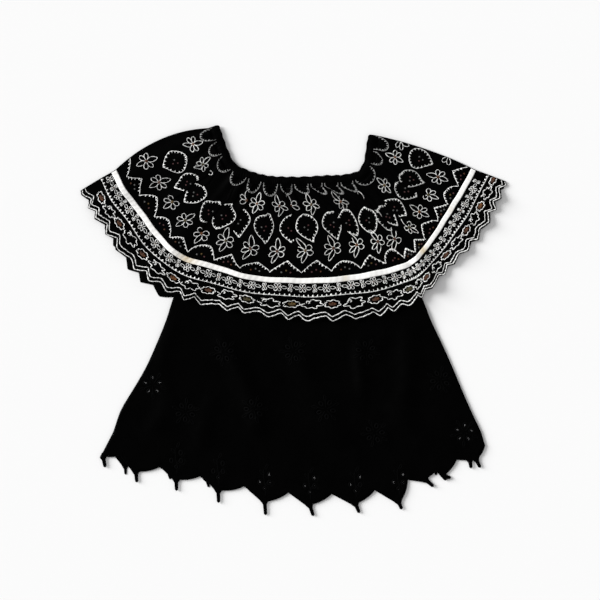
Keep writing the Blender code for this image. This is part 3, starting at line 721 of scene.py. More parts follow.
def local(repeat, row, x, y):
    """Repeat and share of offsets x and y from a middle, square to each other and in true length.

    The offsets are measured along the rib and across it. Where the cloth waves, x is foreshortened.
    """
    repeat, row = np.asarray(repeat, float)[:, None], np.asarray(row, float)
    middle = np.broadcast_to(row.reshape(-1, 1), repeat.shape) / DEPTH
    place, step = FIELD.read(FIELD.moved, repeat, middle), 0.01
    here = flounce_plan(place, middle)
    along = (flounce_plan(place + step, middle) - here) / step
    down = (flounce_plan(place, middle + step) - here) / step
    square = np.stack([along[..., 1], -along[..., 0]], axis=-1)
    axis_x, axis_y = np.moveaxis(unit(unit(square) + unit(down)), -1, 0)
    size = along[..., 0] * down[..., 1] - along[..., 1] * down[..., 0]
    shown_share = np.interp(middle, FIELD.shares, FIELD.shown)
    x = x * np.clip(np.linalg.norm(along, axis=-1) / shown_share / PLAIN_SCALE, 0.6, 1.0)
    move_x, move_y = y * axis_x - x * axis_y, y * axis_y + x * axis_x
    aside = (move_x * down[..., 1] - move_y * down[..., 0]) / size
    share = middle + (along[..., 0] * move_y - along[..., 1] * move_x) / size
    return repeat + aside * shown_share, share


def printed(repeat, row, x, y):
    """Repeat and share of offsets x and y in the border, which isn't gathered."""
    share = (np.asarray(row).reshape(-1, 1) + y) / DEPTH
    return np.broadcast_arrays(np.asarray(repeat)[:, None] + x / REPEAT, share)


def shortened(repeats):
    """Height of the upper motifs as a share of the real one: less on the wings, which undulate."""
    front = ease((np.minimum(repeats - 2.2, 11.2 - repeats)) / 1.6)
    return (0.87 + 0.13 * front)[:, None]


def worn_and_shaded(repeats, row):
    """White thread for each column, dimmer for some columns: partly real wear, partly painted shade for
    motifs that lie low in folds.
    """
    # Painted shade in part: some columns are dimmed as if in a fold's shade, and the rest of the dimming
    # stands for wear
    shade = 0.5 + 0.5 * sin(5.3 * repeats + 0.7 * row) * sin(2.9 * repeats + row)
    return np.outer(1.0 - 0.45 * shade ** 2, WHITE_THREAD)


def uneven(repeat, share):
    """Thickness of hand sewing, which swells and thins along a line."""
    swell = sin(47.0 * repeat + 61.0 * share) * sin(19.0 * repeat - 83.0 * share)
    knotty = sin(113.0 * repeat - 97.0 * share) * sin(71.0 * repeat + 139.0 * share)
    return 1.02 + 0.45 * swell + 0.3 * knotty + 0.12 * sin(2.9 * repeat + 7.0 * share)


def faded(repeat, share):
    """Share of its white that a thread keeps: dim in patches, where it sinks in or is worn."""
    field = sin(41.0 * repeat + 130.0 * share + 1.0) * sin(67.0 * repeat - 170.0 * share)
    return 1.0 - 0.5 * ease(0.2 + 1.1 * field)


def sew(threads, repeat, share, width, tint=WHITE_THREAD, closed=False, height=0.34, taper=1.0,
        floor=0.012, least_seen=0.6, least_run=0.22):
    """Sews rows of points as cords, cut where the cloth is tucked in, under the casing or ends.

    A run that is shorter than the least run, a share of its row, is left out.
    """
    inside = (repeat > FIRST + 0.02) & (repeat < LAST - 0.02) & (share > floor)
    bounded = np.clip(repeat, FIRST, LAST)
    inside &= FIELD.read(FIELD.seen, bounded, np.clip(share, 0.0, DEEPEST)) > least_seen
    whole = inside.all(1)
    tint, taper = np.broadcast_to(tint, (len(repeat), 3)), np.broadcast_to(taper, repeat.shape[1])

    def cord(k, t, colour, joined, thickness):
        """Cords on the flounce, of uneven thickness and faded in patches."""
        threads.cords(*on_flounce(k, t), width, height, colour, joined, uneven(k, t) * thickness,
                      faded(k, t))
    if whole.any():
        cord(repeat[whole], share[whole], tint[whole], closed, taper)
    for line in np.flatnonzero(~whole & (inside.sum(1) > 2)):
        order = np.arange(repeat.shape[1])
        if closed:
            order = np.roll(order, -int(np.argmin(inside[line])))
        edges = np.flatnonzero(np.diff(np.concatenate([[0], inside[line][order].astype(int), [0]])))
        for start, end in edges.reshape(-1, 2):
            if end - start > max(2, least_run * len(order)):
                run = order[start:end]
                cord(repeat[line][None, run], share[line][None, run], tint[line], False, taper[run])


def diamond(angle, half_width, half_height):
    """Rounded diamond: the cosine's power makes its points, and it is widest above its middle."""
    x = np.sign(cos(angle)) * np.abs(cos(angle)) ** 1.8
    y = sin(angle) - 0.2 * cos(angle) ** 2
    return half_width * x, half_height * y


def add_rings(threads, repeats):
    """Rounded diamonds with small teeth on their inner side."""
    angle = np.linspace(0.0, 2.0 * pi, 85) + 0.5 * pi
    teeth = once_round(RING_TEETH) + 0.5 * pi + 0.15
    grown = (1.0 + 0.06 * sin(2.3 * repeats))[:, None]
    tint = worn_and_shaded(repeats, RING_ROW)

    def bent(at):
        """Offsets at an angle: the diamond, its radius swung a little from ring to ring."""
        x, y = diamond(at, *RING_SIZE)
        number = repeats[:, None]
        swell = 1.0 + 0.05 * sin(3.0 * at + 2.1 * number) + 0.03 * sin(5.0 * at - number)
        return x * grown * swell, y * swell * shortened(repeats)
    sew(threads, *local(repeats, RING_ROW, *bent(angle)), RING_LINE, tint, least_run=0.1)
    for tooth in teeth:
        x, y = bent(np.full(1, tooth))
        shrink = 1.0 - RING_REACH / np.hypot(x, y)
        sew(threads, *local(repeats, RING_ROW, x * shrink, y * shrink), RING_TOOTH, tint,
            taper=TOOTH_TAPER)


def add_half_rings(threads, repeats):
    """Cups with small teeth inside, from the casing down: their places count the cloth that shows."""
    angle = np.linspace(-0.99 * pi, -0.01 * pi, 44)
    teeth = np.linspace(-0.9 * pi, -0.1 * pi, HALF_RING_TEETH)
    width = NECK_LENGTH / SPAN

    def laid(x, y):
        """Repeat and share of an offset: x is laid off from above, y down the rib."""
        share = (HALF_RING_ROW - y) / DEPTH
        place = repeats[:, None] + x / width
        return FIELD.read(FIELD.cloth, place, share), share
    grown = (1.0 + 0.12 * sin(2.9 * repeats))[:, None]
    deep = (1.0 + 0.14 * sin(4.7 * repeats + 1.0))[:, None]
    x, y = HALF_RING_SIZE[0] * cos(angle), HALF_RING_SIZE[1] * sin(angle)
    tint = 0.42 * worn_and_shaded(repeats, HALF_RING_ROW)
    sew(threads, *laid(x * grown, y * deep), HALF_RING_LINE, tint, floor=CASING_PRINT, least_seen=0.0)
    x, y = HALF_RING_SIZE[0] * cos(teeth), HALF_RING_SIZE[1] * sin(teeth)
    for tooth_x, tooth_y in zip(x, y):
        shrink = 1.0 - HALF_RING_REACH / np.hypot(tooth_x, tooth_y)
        sew(threads, *laid(tooth_x * shrink * grown, tooth_y * shrink * deep), RING_TOOTH, tint,
            taper=TOOTH_TAPER, floor=CASING_PRINT, least_seen=0.0)


def petal(angle, length, width, start, pointed):
    """Closed loop from the flower's middle outwards: a long oval, its end drawn to a point."""
    turn = once_round(PETAL_POINTS)
    along = start + 0.5 * length * (1.0 - cos(turn))
    share = (along - start) / length
    swell = sin(turn) * np.sqrt(0.35 + 0.65 * share)
    if pointed:
        swell = sin(turn) * (1.0 - 0.45 * share ** 3)
    across = 0.5 * width * swell
    return along * sin(angle) + across * cos(angle), along * cos(angle) - across * sin(angle)


def add_flowers(threads, dots, repeats, row, size, colours):
    """Flowers of four round petals and a pointed one above and below, round a satin middle."""
    shapes = []
    for degrees, length, width, pointed in PETALS:
        shapes.append(petal(np.radians(degrees), length * size, width * size, 0.05 * size, pointed))
    lean = 0.08 * sin(2.7 * repeats + row)
    for x, y in shapes:
        turned_x = 0.95 * np.outer(cos(lean), x) - np.outer(sin(lean), y)
        turned_y = (np.outer(sin(lean), x) + np.outer(cos(lean), y)) * shortened(repeats)
        sew(threads, *local(repeats, row, turned_x, turned_y), FLOWER_LINE, worn_and_shaded(repeats, row),
            closed=True, least_run=0.6)
    add_dots(dots, repeats, row, 0.068 * size, 0.075 * size, colours)


def add_dots(dots, repeats, rows, half_x, half_y, colours, height=0.9):
    """Satin dots at repeats and distances from the casing, where the cloth shows."""
    shares = np.broadcast_to(rows, repeats.shape) / DEPTH
    inside = (repeats > FIRST + 0.05) & (repeats < LAST - 0.05)
    inside &= FIELD.read(FIELD.seen, np.clip(repeats, FIRST, LAST), shares) > 0.6
    repeats, shares, colours = repeats[inside], shares[inside], np.asarray(colours)[inside]
    middles, normals = on_flounce(repeats, shares, DOT_LIFT)
    beside = on_flounce(repeats + 0.01, shares, DOT_LIFT)[0]
    axis_x = unit(beside - middles)
    axis_y = unit(np.cross(normals, axis_x))
    dots.dots(middles, axis_x * half_x, axis_y * half_y, normals, height, colours)


def colours_of(indices, choice):
    """Colours by a column's number."""
    return np.array([choice[int(i) % len(choice)] for i in indices])


def arch_row(repeat):
    """Row of the scallops above the tape: some with a round top, some with a pointed one."""
    column = (repeat - UPPER_START) / UPPER_STEP
    number = np.floor(column)
    wave = np.abs(sin(pi * column))
    pointed = 1.0 - np.abs(2.0 * (column - number) - 1.0)
    share = 0.5 + 0.5 * sin(2.6 * number + 0.8)
    shape = (1.0 - share) * wave ** 0.62 + share * pointed ** 1.1
    rise = ARCH_RISE * (0.92 + 0.16 * sin(1.9 * number))
    return ARCH_ROW - rise * shape + 0.5 * sin(17.0 * repeat)


def add_arches(threads, dots):
    """Scallops above the tape with teeth on their inner side, and knots under each."""
    k = np.linspace(FIRST + 0.03, LAST - 0.03, LINE_POINTS)
    sew(threads, k[None], (arch_row(k) / DEPTH)[None], ARCH_LINE)
    teeth = np.arange(FIRST + 0.1, LAST - 0.1, ARCH_TOOTH_STEP)
    turn = pi * (teeth - UPPER_START) / UPPER_STEP
    clear = np.abs(sin(turn)) > 0.25
    teeth, side = teeth[clear], np.sign(cos(turn) * sin(turn))[clear]
    reach = np.array([0.0, 0.5, 1.0])
    sew(threads, teeth[:, None] + 0.022 * side[:, None] * reach,
        (arch_row(teeth)[:, None] + ARCH_TOOTH * reach) / DEPTH, ARCH_TOOTH_LINE,
        taper=TOOTH_TAPER)
    for offset, drop, choice in ARCH_KNOTS:
        at = BETWEEN_COLUMNS + offset + 0.02 * sin(9.0 * BETWEEN_COLUMNS)
        add_dots(dots, at, ARCH_ROW + drop, 1.4, 1.4, colours_of(UPPER_COLUMNS[:-1], choice), 0.6)


def add_ring_knots(dots):
    """Dark knots inside each ring."""
    for x, y, choice in RING_KNOTS:
        k, t = local(BETWEEN_COLUMNS, RING_ROW, x, y)
        colours = colours_of(UPPER_COLUMNS[:-1], choice)
        add_dots(dots, k[:, 0], t[:, 0] * DEPTH, 1.3, 1.3, colours, 0.5)


def add_chain(threads, dots):
    """Daisies of four loops below the tape, wide and narrow by turns, joined by leaf loops."""
    daisies = np.arange(FIRST + 0.16, LAST - 0.1, CHAIN_STEP)
    row = CHAIN_ROW + 0.8 * sin(3.0 * daisies)
    turn = once_round(LOOP_POINTS)
    spread = (0.80 + 0.20 * cos(pi * np.arange(len(daisies))))[:, None]
    for degrees in DAISY_TURNS:
        angle = np.radians(degrees) + 0.22 * sin(5.0 * daisies)
        along, across = 0.4 + 3.1 * (1.0 - cos(turn)), 1.9 * sin(turn) * (1.0 - 0.35 * cos(turn))
        x = np.outer(sin(angle), along) + np.outer(cos(angle), across)
        y = np.outer(cos(angle), along) - np.outer(sin(angle), across)
        sew(threads, *printed(daisies, row, spread * x, y), CHAIN_LINE, closed=True, height=0.3)
    add_dots(dots, daisies, row, 1.2, 1.2, colours_of(np.arange(len(daisies)), CENTRES), 0.7)
    leaves = daisies[:-1] + 0.5 * CHAIN_STEP
    middle_row = CHAIN_ROW + 0.8 * sin(3.0 * leaves)
    x, y = 4.6 * cos(turn), 2.1 * sin(turn) * (1.0 - 0.6 * cos(turn) ** 2)
    sew(threads, *printed(leaves, middle_row, x, y + 0.12 * x), LEAF_LINE, closed=True,
        height=0.3)


def add_comb(threads):
    """Line below the daisies with small teeth on its upper side."""
    k = np.linspace(FIRST + 0.03, LAST - 0.03, COMB_POINTS)
    row = COMB_ROW + 0.6 * sin(4.1 * k)
    sew(threads, k[None], (row / DEPTH)[None], COMB_LINE)
    teeth = np.arange(FIRST + 0.06, LAST - 0.05, COMB_STEP)
    row = COMB_ROW + 0.6 * sin(4.1 * teeth)
    share = (row[:, None] - COMB_REACH) / DEPTH
    sew(threads, np.broadcast_to(teeth[:, None], share.shape), share, COMB_TOOTH, taper=TOOTH_TAPER)


def blob(turn, number, half_x, half_y, waves, depth):
    """Wavy ovals, one a row: the radius swings with the turn, each in its own way."""
    number = np.asarray(number, float)[:, None]
    radius = 1.0 + depth * cos(waves * turn + 1.7 * number)
    radius += 0.6 * depth * sin(2.0 * turn + 2.3 * number) + 0.5 * depth * cos(5.0 * turn - number)
    return half_x * radius * cos(turn), half_y * radius * sin(turn)


def add_blobs(threads, dots):
    """Wavy ovals with satin in them, and between them open wavy loops that end in a curl."""
    turn = once_round(BLOB_POINTS)
    filled = np.arange(15.0)
    lean = 0.0875 * sin(2.9 * filled)[:, None]
    x, y = blob(turn, filled, 11.2, 5.2, 8, 0.11)
    sew(threads, *printed(filled, BLOB_ROW, x, y + lean * x), BLOB_LINE, closed=True)
    colours = colours_of(filled, BLOB_COLOURS)
    for x, y, half_x, half_y in BLOB_SATIN:
        k, t = printed(filled, BLOB_ROW, x, y + lean * x)
        add_dots(dots, k[:, 0], t[:, 0] * DEPTH, half_x, half_y, colours * (1.0 + 0.14 * x))
    plain = filled[:-1] + 0.5
    lean = 0.8 * sin(3.7 * plain)[:, None]
    x, y = blob(np.linspace(-0.72 * pi, 1.05 * pi, 84), plain, 14.0, 6.2, 7, 0.17)
    sew(threads, *printed(plain, BLOB_ROW, x, y + lean), BLOB_LINE)
    curl = np.linspace(0.0, 1.75 * pi, 20)
    radius = 3.6 * (1.0 - 0.13 * curl)
    x, y = radius * cos(curl + 2.6) - 5.6, 0.75 * radius * sin(curl + 2.6) - 2.4
    sew(threads, *printed(plain, BLOB_ROW, x, y + lean), BLOB_LINE)


def add_zigzags(threads):
    """Two zigzag lines that follow the teeth of the lower edge."""
    k = np.linspace(FIRST + 0.03, LAST - 0.03, LINE_POINTS)
    for row, depth, width, phase in ZIGZAGS:
        swing = np.clip(1.15 * tooth_wave(k + phase), -0.5, 0.5)
        ragged = 0.7 * sin(7.3 * k + row) + 0.5 * sin(13.1 * k) + 0.3 * sin(37.0 * k + row)
        sew(threads, k[None], ((row + depth * swing + ragged) / DEPTH)[None], width)


def add_embroidery(thread_finish, satin_finish):
    """Everything sewn on the front flounce, in three pieces."""
    upper, lower, dots = Threads(), Threads(), Threads()
    columns = UPPER_START + UPPER_STEP * UPPER_COLUMNS
    cups = np.linspace(FIRST, LAST, 15)
    add_half_rings(upper, 0.5 * (cups[1:] + cups[:-1]))
    add_rings(upper, BETWEEN_COLUMNS)
    high = np.delete(UPPER_COLUMNS, GATHERED_IN)
    add_flowers(upper, dots, columns[high], HIGH_FLOWER_ROW, HIGH_FLOWER, colours_of(high + 4, CENTRES))
    low = np.delete(UPPER_COLUMNS, FOLDED_UNDER)
    add_flowers(upper, dots, columns[low], LOW_FLOWER_ROW, LOW_FLOWER, colours_of(low, CENTRES))
    add_arches(upper, dots)
    add_ring_knots(dots)
    add_chain(lower, dots)
    add_comb(lower)
    add_blobs(lower, dots)
    add_zigzags(lower)
    return [upper.make("embroidery_upper_white", thread_finish, "embroidery_white"),
            lower.make("embroidery_border_white", thread_finish, "embroidery_white"),
            dots.make("embroidery_satin", satin_finish, "embroidery_accent")]


class Finish:
    """New material. Each node it adds is read at one output."""

    def __init__(self, name, roughness, specular, sheen=0.0):
        self.made = bpy.data.materials.new(name)
        self.made.use_nodes = True
        self.tree = self.made.node_tree
        self.shader = self.tree.nodes["Principled BSDF"]
        self.put(self.shader, {"Roughness": roughness, "Specular IOR Level": specular,
                               "Sheen Weight": sheen})

    def put(self, node, inputs):
        """Links each input to the output given for it, or sets it to the value."""
        for socket, value in inputs.items():
            if isinstance(value, bpy.types.NodeSocket):
                self.tree.links.new(value, node.inputs[socket])
            else:
                node.inputs[socket].default_value = value

    def add(self, kind, output, inputs, **settings):
        """Adds a node of a kind, with its inputs and settings."""
        node = self.tree.nodes.new("ShaderNode" + kind)
        for key, value in settings.items():
            setattr(node, key, value)
        self.put(node, inputs)
        return node.outputs[output]

    def noise(self, place, scale, detail):
        """Clouds: noise summed over finer and finer scales."""
        return self.add("TexNoise", "Fac", {"Vector": place, "Scale": scale, "Detail": detail})

    def waves(self, place, pitch, bent, detail, axis="X"):
        """Threads side by side along an axis: a sine with the given pitch, bent by noise."""
        return self.add("TexWave", "Fac", {"Vector": place, "Scale": WAVE_PITCH / pitch, "Distortion": bent,
                                           "Detail Scale": detail}, bands_direction=axis)

    def raised(self, height, strength, distance=0.0002, **under):
        """Bump of a height, over another one where that is given."""
        return self.add("Bump", 0, {"Height": height, "Strength": strength, "Distance": distance, **under})

    def tinted(self, shade, low):
        """The tint kept at the points, times a factor that runs from low to 1: painted shade in a thread's
        twist grooves, a cloudy tone on the ribbon.
        """
        tint = self.add("Attribute", "Color", {}, attribute_name="tint")
        shade = self.add("MapRange", 0, {"Value": shade, "To Min": low, "To Max": 1.0})
        return self.add("Mix", 2, {"Factor": 1.0, 6: tint, 7: shade}, data_type="RGBA",
                        blend_type="MULTIPLY")

    def done(self, colour, normal):
        """The material, with its colour and its normals."""
        self.put(self.shader, {"Base Color": colour, "Normal": normal})
        return self.made


def cotton(name, light):
    """Plain black cotton: two crossed thread waves, uneven yarn, and faint cloudy wear."""
    finish = Finish(name, 0.55, 0.010, 0.001)
    place = finish.add("TexCoord", "Object", {})
    clouds, lint = finish.noise(place, 26.0, 4.0), finish.noise(place, 900.0, 2.0)
    wear = finish.add("Math", 0, {0: clouds, 1: lint}, operation="MULTIPLY")
    share = finish.add("MapRange", 0, {"Value": wear, "From Min": 0.12, "From Max": 0.42})
    tone = finish.add("Mix", 2, {"Factor": share, 6: DARK_COTTON, 7: light}, data_type="RGBA")
    warp, weft = (finish.waves(place, WEAVE, 0.6, 3.0, axis) for axis in "XY")
    cross = finish.add("Math", 0, {0: warp, 1: weft}, operation="MAXIMUM")
    soft = finish.raised(finish.noise(place, 75.0, 5.0), 0.35, 0.0016)
    return finish.done(tone, finish.raised(cross, 0.35, Normal=soft))


def thread(name, pitch, roughness, specular, bump, groove_shade):
    """Twisted thread: slanting waves along its length, in the tint kept at its points, darkened in the
    grooves between the twists as painted shade.
    """
    finish = Finish(name, roughness, specular)
    uv = finish.add("TexCoord", "UV", {})
    turned = finish.add("Mapping", 0, {"Vector": uv, "Rotation": (0.0, 0.0, 0.6)})
    twist = finish.waves(turned, pitch, 1.2, 2.0)
    height = finish.add("Math", 0, {0: twist, 1: finish.noise(uv, 2.2, 4.0)}, operation="ADD")
    # Painted shade: the tint darkens in the grooves between the twists, down to the given share
    return finish.done(finish.tinted(twist, groove_shade), finish.raised(height, bump))


def ribbon(name):
    """Grosgrain ribbon: fine ribs across it, faintly cloudy, in the tint kept at its points."""
    finish = Finish(name, 0.55, 0.3, 0.1)
    uv = finish.add("TexCoord", "UV", {})
    ribs = finish.waves(uv, 0.9, 0.2, 1.0)
    return finish.done(finish.tinted(finish.noise(uv, 0.09, 3.0), 0.90), finish.raised(ribs, 0.4))


def shown(piece, finish, slot_name, *nodes):
    """Gives a piece its finish, hangs it under the root body and hides the imported pieces it replaces."""
    piece.data.materials.append(finish)
    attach(piece, "root")
    if nodes:
        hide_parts(*nodes)
    return piece


def toothed_grid(rows, shift=0.0):
    """Repeats and shares of a grid over the flounce, the last rows moved with the teeth."""
    shares, repeats = np.linspace(0.0, 1.0, rows), np.linspace(FIRST, LAST, FLOUNCE_COLUMNS)
    t, k = np.meshgrid(shares, repeats, indexing="ij")
    return k, t + tooth_wave(k + shift) * TOOTH / DEPTH * ease((t - TOOTHED_FROM) / (1.0 - TOOTHED_FROM))


def add_flounce_front(finish):
    """Front flounce: its field on a grid of repeats and shares, the last rows cut in teeth."""
    points = FIELD.read(FIELD.points, *toothed_grid(FRONT_ROWS))
    piece = add_mesh("flounce_front_cloth", points.reshape(-1, 3), grid_quads(FRONT_ROWS, FLOUNCE_COLUMNS))
    return shown(walled(piece, FINE_CLOTH), finish, "flounce_cotton", "flounce_front")


def add_flounce_back(finish):
    """Back flounce: flat on the surface with faint creases, toothed as the front."""
    plan = flounce_plan(*toothed_grid(BACK_ROWS, BACK_TOOTH_SHIFT), back=True)
    z = FINE_LIFT + 0.4 * creases(plan[..., 0], plan[..., 1], 13.0, 8)
    points = np.concatenate([plan, z[..., None]], axis=2)
    piece = add_mesh("flounce_back_cloth", points.reshape(-1, 3), grid_quads(BACK_ROWS, FLOUNCE_COLUMNS))
    return shown(walled(piece, FINE_CLOTH), finish, "flounce_cotton", "flounce_back")


def add_tape(finish):
    """Ribbon on the front flounce: made from its field, moved out, its edges pressed down."""
    repeats = np.linspace(FIRST + 0.02, LAST - 0.02, TAPE_GRID[1])
    across = np.linspace(-1.0, 1.0, TAPE_GRID[0])
    side, k = np.meshgrid(across, repeats, indexing="ij")
    sway = through(*np.array(TAPE_SHIFT).T, k) + 0.3 * sin(2.9 * k) + 0.25 * sin(8.3 * k)
    share = TAPE_SHARE + (side * 0.5 * TAPE_WIDTH + sway) / DEPTH
    points, normals = on_flounce(k, share, 0.0)
    lift = FINE_CLOTH + 0.25 + 0.25 * (1.0 - side ** 4) + 0.12 * sin(41.0 * k + side)
    points = points + normals * lift[..., None]
    # Painted shade: the tape turns warm grey-cream at its kinks, as if shaded where it twists
    kink_shade = sum(exp(-((k - middle) / width) ** 2) * amount for middle, width, amount in SHADED_TAPE_KINKS)
    mottled_kink_shade = kink_shade * (0.85 + 0.15 * sin(37.0 * k + 2.0 * side))
    tint = TAPE_WHITE + np.clip(mottled_kink_shade, 0.0, 1.0)[..., None] * (TAPE_KINK_SHADE - TAPE_WHITE)
    uv = np.stack([k * REPEAT, side * 0.5 * TAPE_WIDTH], axis=-1)
    piece = add_mesh("tape_front_ribbon", points.reshape(-1, 3), grid_quads(*TAPE_GRID),
                     uv=uv.reshape(-1, 2), tint=tint.reshape(-1, 3))
    return shown(walled(piece, TAPE_WALL), finish, "ribbon_tape", "tape_front")


def oval(x, y, length, width, turn, away=0.0, sides=16):
    """Closed oval with its long axis along a turn, its middle some way from a point along it."""
    angles = once_round(sides)
    along, across = away + 0.5 * length * cos(angles), 0.5 * width * sin(angles)
    c, s = cos(turn), sin(turn)
    return np.stack([x + along * c - across * s, y + along * s + across * c], axis=1)


def eyelets(back=False):
    """Holes of the body's sprigs, petals round a middle, and of those over the front hem's tails."""
    holes = []
    for x, y, turn, cut_back in BODY_SPRIGS:
        for petal_number in range(0 if back and not cut_back else SPRIG_PETALS):
            angle = np.radians(turn) + petal_number * 2 * pi / SPRIG_PETALS
            holes.append(oval(x, y, *PETAL_HOLE, angle, SPRIG_RADIUS))
    for index in range(0) if back else HEM_SPRIG_ROWS:
        root_x, root_y = FRONT_HEM[index][2:4]
        holes += [oval(root_x + x, root_y + y, length, width, pi / 2)
                  for x, y, length, width in HEM_SPRIG]
    return holes


def fold_height(points, outside):
    """Rise of the body's folds, and of fine creases, faded out under the flounce."""
    rise = np.zeros(len(points))
    for top_x, top_y, bottom_x, bottom_y, width, height in FOLDS:
        top, run = np.array([top_x, top_y]), np.array([bottom_x - top_x, bottom_y - top_y])
        length = np.linalg.norm(run)
        along = (points - top) @ run / length
        across = (points - top) @ np.array([-run[1], run[0]]) / length
        bent = across + 5.0 * sin(along / 38.0 + top_x)
        ends = ease(along / FOLD_RISE + 0.5) * ease((length - along) / FOLD_RISE + 0.5)
        rise = rise + height * exp(-(bent / width) ** 2) * ends
    x, y = points[:, 0], points[:, 1]
    rumple = 1.5 * creases(x, y, 20.0, 3) + 0.9 * creases(x, y, 8.0, 4)
    return rise * ease((outside - DROP_START) / FOLD_RISE) + rumple * ease(outside / 30.0)


OVER_FLOUNCE = flounce_outline(back=True)
UNDER_FLOUNCE = flounce_outline(back=False)


def body_front_level(points):
    """Underside of the front body over the back flounce and the back body."""
    outside = outside_distance(points, UNDER_FLOUNCE)[0]
    under = rest_on(points, OVER_FLOUNCE, LAYER) + rest_on(points, BACK_OUTLINE, LAYER)
    return FINE_LIFT + under + fold_height(points, outside)


def body_back_level(points):
    """Underside of the back body over the back flounce, with low creases."""
    rumple = 0.35 * creases(points[:, 0], points[:, 1], 16.0, 9)
    return FINE_LIFT + rest_on(points, OVER_FLOUNCE, LAYER) + rumple


def add_panel(name, outline, holes, cell, level, finish, node):
    """Panel cut from its outline and its holes, raised to its level."""
    loops, points = [], []
    for loop in [outline] + holes:
        loops.append(list(range(len(points), len(points) + len(loop))))
        points += [tuple(p) for p in loop]
    low, high = outline.min(0), outline.max(0)
    rows = np.arange(low[1] + 0.5 * cell, high[1], 0.87 * cell)
    grid = np.array([(x + (index % 2) * 0.5 * cell, y)
                     for index, y in enumerate(rows) for x in np.arange(low[0], high[0], cell)])
    grid = grid[outside_distance(grid, outline)[1] > 0.4 * cell]
    for hole in holes:
        grid = grid[np.linalg.norm(grid - hole.mean(0), axis=1) > 0.45 * cell + 3.0]
    points += [tuple(p) for p in grid]
    cut = delaunay_2d_cdt([Vector(p) for p in points], [], loops, WITH_HOLES_LEFT_OUT, 0.01)
    flat = np.array([tuple(p) for p in cut[0]])
    faces = np.array([face for face in cut[2] if len(face) == 3])
    raised = np.column_stack([flat, level(flat)])
    piece = add_mesh(name, raised, np.zeros((0, 4), int), faces)
    return shown(walled(piece, FINE_CLOTH), finish, "body_cotton", node)


def on_body(x, y, lift):
    """Points on the front body's upper side, and the normals there by small differences."""
    shape = x.shape
    plan = np.stack([x.ravel(), y.ravel()], axis=1)
    step = 0.6
    z = body_front_level(plan)
    slope_x = (body_front_level(plan + (step, 0.0)) - z) / step
    slope_y = (body_front_level(plan + (0.0, step)) - z) / step
    normals = unit(np.stack([-slope_x, -slope_y, np.ones_like(z)], axis=1))
    points = np.column_stack([plan, z]) + normals * (FINE_CLOTH + lift)
    return points.reshape(*shape, 3), normals.reshape(*shape, 3)


def add_body_sewing(finish):
    """Black satin: rims round the eyelets, leaves and stems at the sprigs, and the hem's cord."""
    rims, hem_cord, leaves, stems = Threads(), Threads(), [], []
    for x, y, turn, _ in BODY_SPRIGS:
        for number in range(SPRIG_PETALS):
            angle = np.radians(turn) + (number + 0.5) * 2.0 * pi / SPRIG_PETALS
            leaves.append(oval(x, y, *LEAF, angle, LEAF_RADIUS, LEAF_SIDES).T)
            stems.append((x + STEM * cos(angle), y + STEM * sin(angle)))
    for index in HEM_SPRIG_ROWS:
        x, y = FRONT_HEM[index][2:4]
        stems.append((x + 1.5 * sin(HEM_STEM / 9.0), y + HEM_STEM))
        leaves += [oval(x, y + height, *HEM_LEAF, 0.5 * pi - lean, HEM_LEAF_AWAY, LEAF_SIDES).T
                   for height, lean in HEM_LEAVES]
    holes = np.array(eyelets()).transpose(0, 2, 1)
    hem_line = np.array(hem(FRONT_HEM, FRONT_CORNER, HEM_SHARES)).T[None]
    for threads, plans, lift, width, height, closed in (
            (rims, holes, -0.15, 3.0, 0.8, True), (rims, leaves, -0.05, 1.5, 0.55, True),
            (rims, stems, -0.05, 1.4, 0.5, False), (hem_cord, hem_line, -0.35, 1.5, 0.75, False)):
        points, normals = on_body(*np.moveaxis(np.array(plans), 1, 0), lift)
        threads.cords(points, normals, width, height, BLACK_THREAD, closed)
    return [rims.make("eyelet_sewing", finish, "body_cotton"),
            hem_cord.make("hem_cord", finish, "body_cotton")]


def add_flounce_edge(finish):
    """Black overcast edge along the flounce's teeth."""
    edge = Threads()
    k = np.linspace(FIRST + 0.01, LAST - 0.01, EDGE_POINTS)
    share = 1.0 + tooth_wave(k) * TOOTH / DEPTH - EDGE_INSET
    points, normals = on_flounce(k, share, EDGE_THREAD_LIFT)
    edge.cords(points[None], normals[None], *EDGE_LINE, BLACK_THREAD)
    return edge.make("flounce_edge_sewing", finish, "flounce_cotton")


def add_casing(name, level, drop, ripple, crown, finish, node):
    """Flattened tube along the neck, its free edge rippled and puckered."""
    count, around = CASING_GRID
    share = np.linspace(0.0, 1.0, count)[:, None]
    angle = once_round(around)[None]
    middles, inwards = neck_at(share[:, 0], drop)
    u = 0.5 - 0.5 * cos(angle)
    rise, wave, pucker = casing_rise(share, u, crown, sin(angle) > 0.0)
    scallop = 0.45 * (pucker - 0.5) * (1.0 - u)
    from_end = np.clip(np.minimum(share, 1.0 - share) * NECK_LENGTH / CASING_CORNER, 0.0, 1.0)
    corner = CASING_CORNER * (1.0 - np.sqrt(from_end * (2.0 - from_end)))
    across = CASING_SPREAD * u + (ripple * (wave - 0.8) - scallop + corner) * (1.0 - u)
    plan = middles[:, None] + inwards[:, None] * across[..., None]
    points = np.concatenate([plan, level + rise[..., None]], axis=2)
    ends = points[[0, -1]].mean(1)
    flat = np.concatenate([points.reshape(-1, 3), ends])
    quads = grid_quads(count, around, wrap=True)
    rim = np.arange(around)
    last = (count - 1) * around + rim
    start = np.stack([np.full(around, count * around), np.roll(rim, -1), rim], 1)
    close = np.stack([np.full(around, count * around + 1), last, np.roll(last, -1)], 1)
    piece = add_mesh(name, flat, quads, np.concatenate([start, close]))
    return shown(piece, finish, "casing_cotton", node)


def add_floor():
    """Pale floor under the top: one square face with a paper's grain."""
    corners = np.array([(-1, -1, 0), (1, -1, 0), (1, 1, 0), (-1, 1, 0)])
    floor = add_mesh("floor", corners * FLOOR_HALF, np.array([[0, 1, 2, 3]]))
    finish = Finish("floor_paper", 0.9, 0.1)
    grain = finish.noise(finish.add("TexCoord", "Object", {}), 300.0, 3.0)
    floor.data.materials.append(finish.done(FLOOR_PAPER, finish.raised(grain, 0.05)))


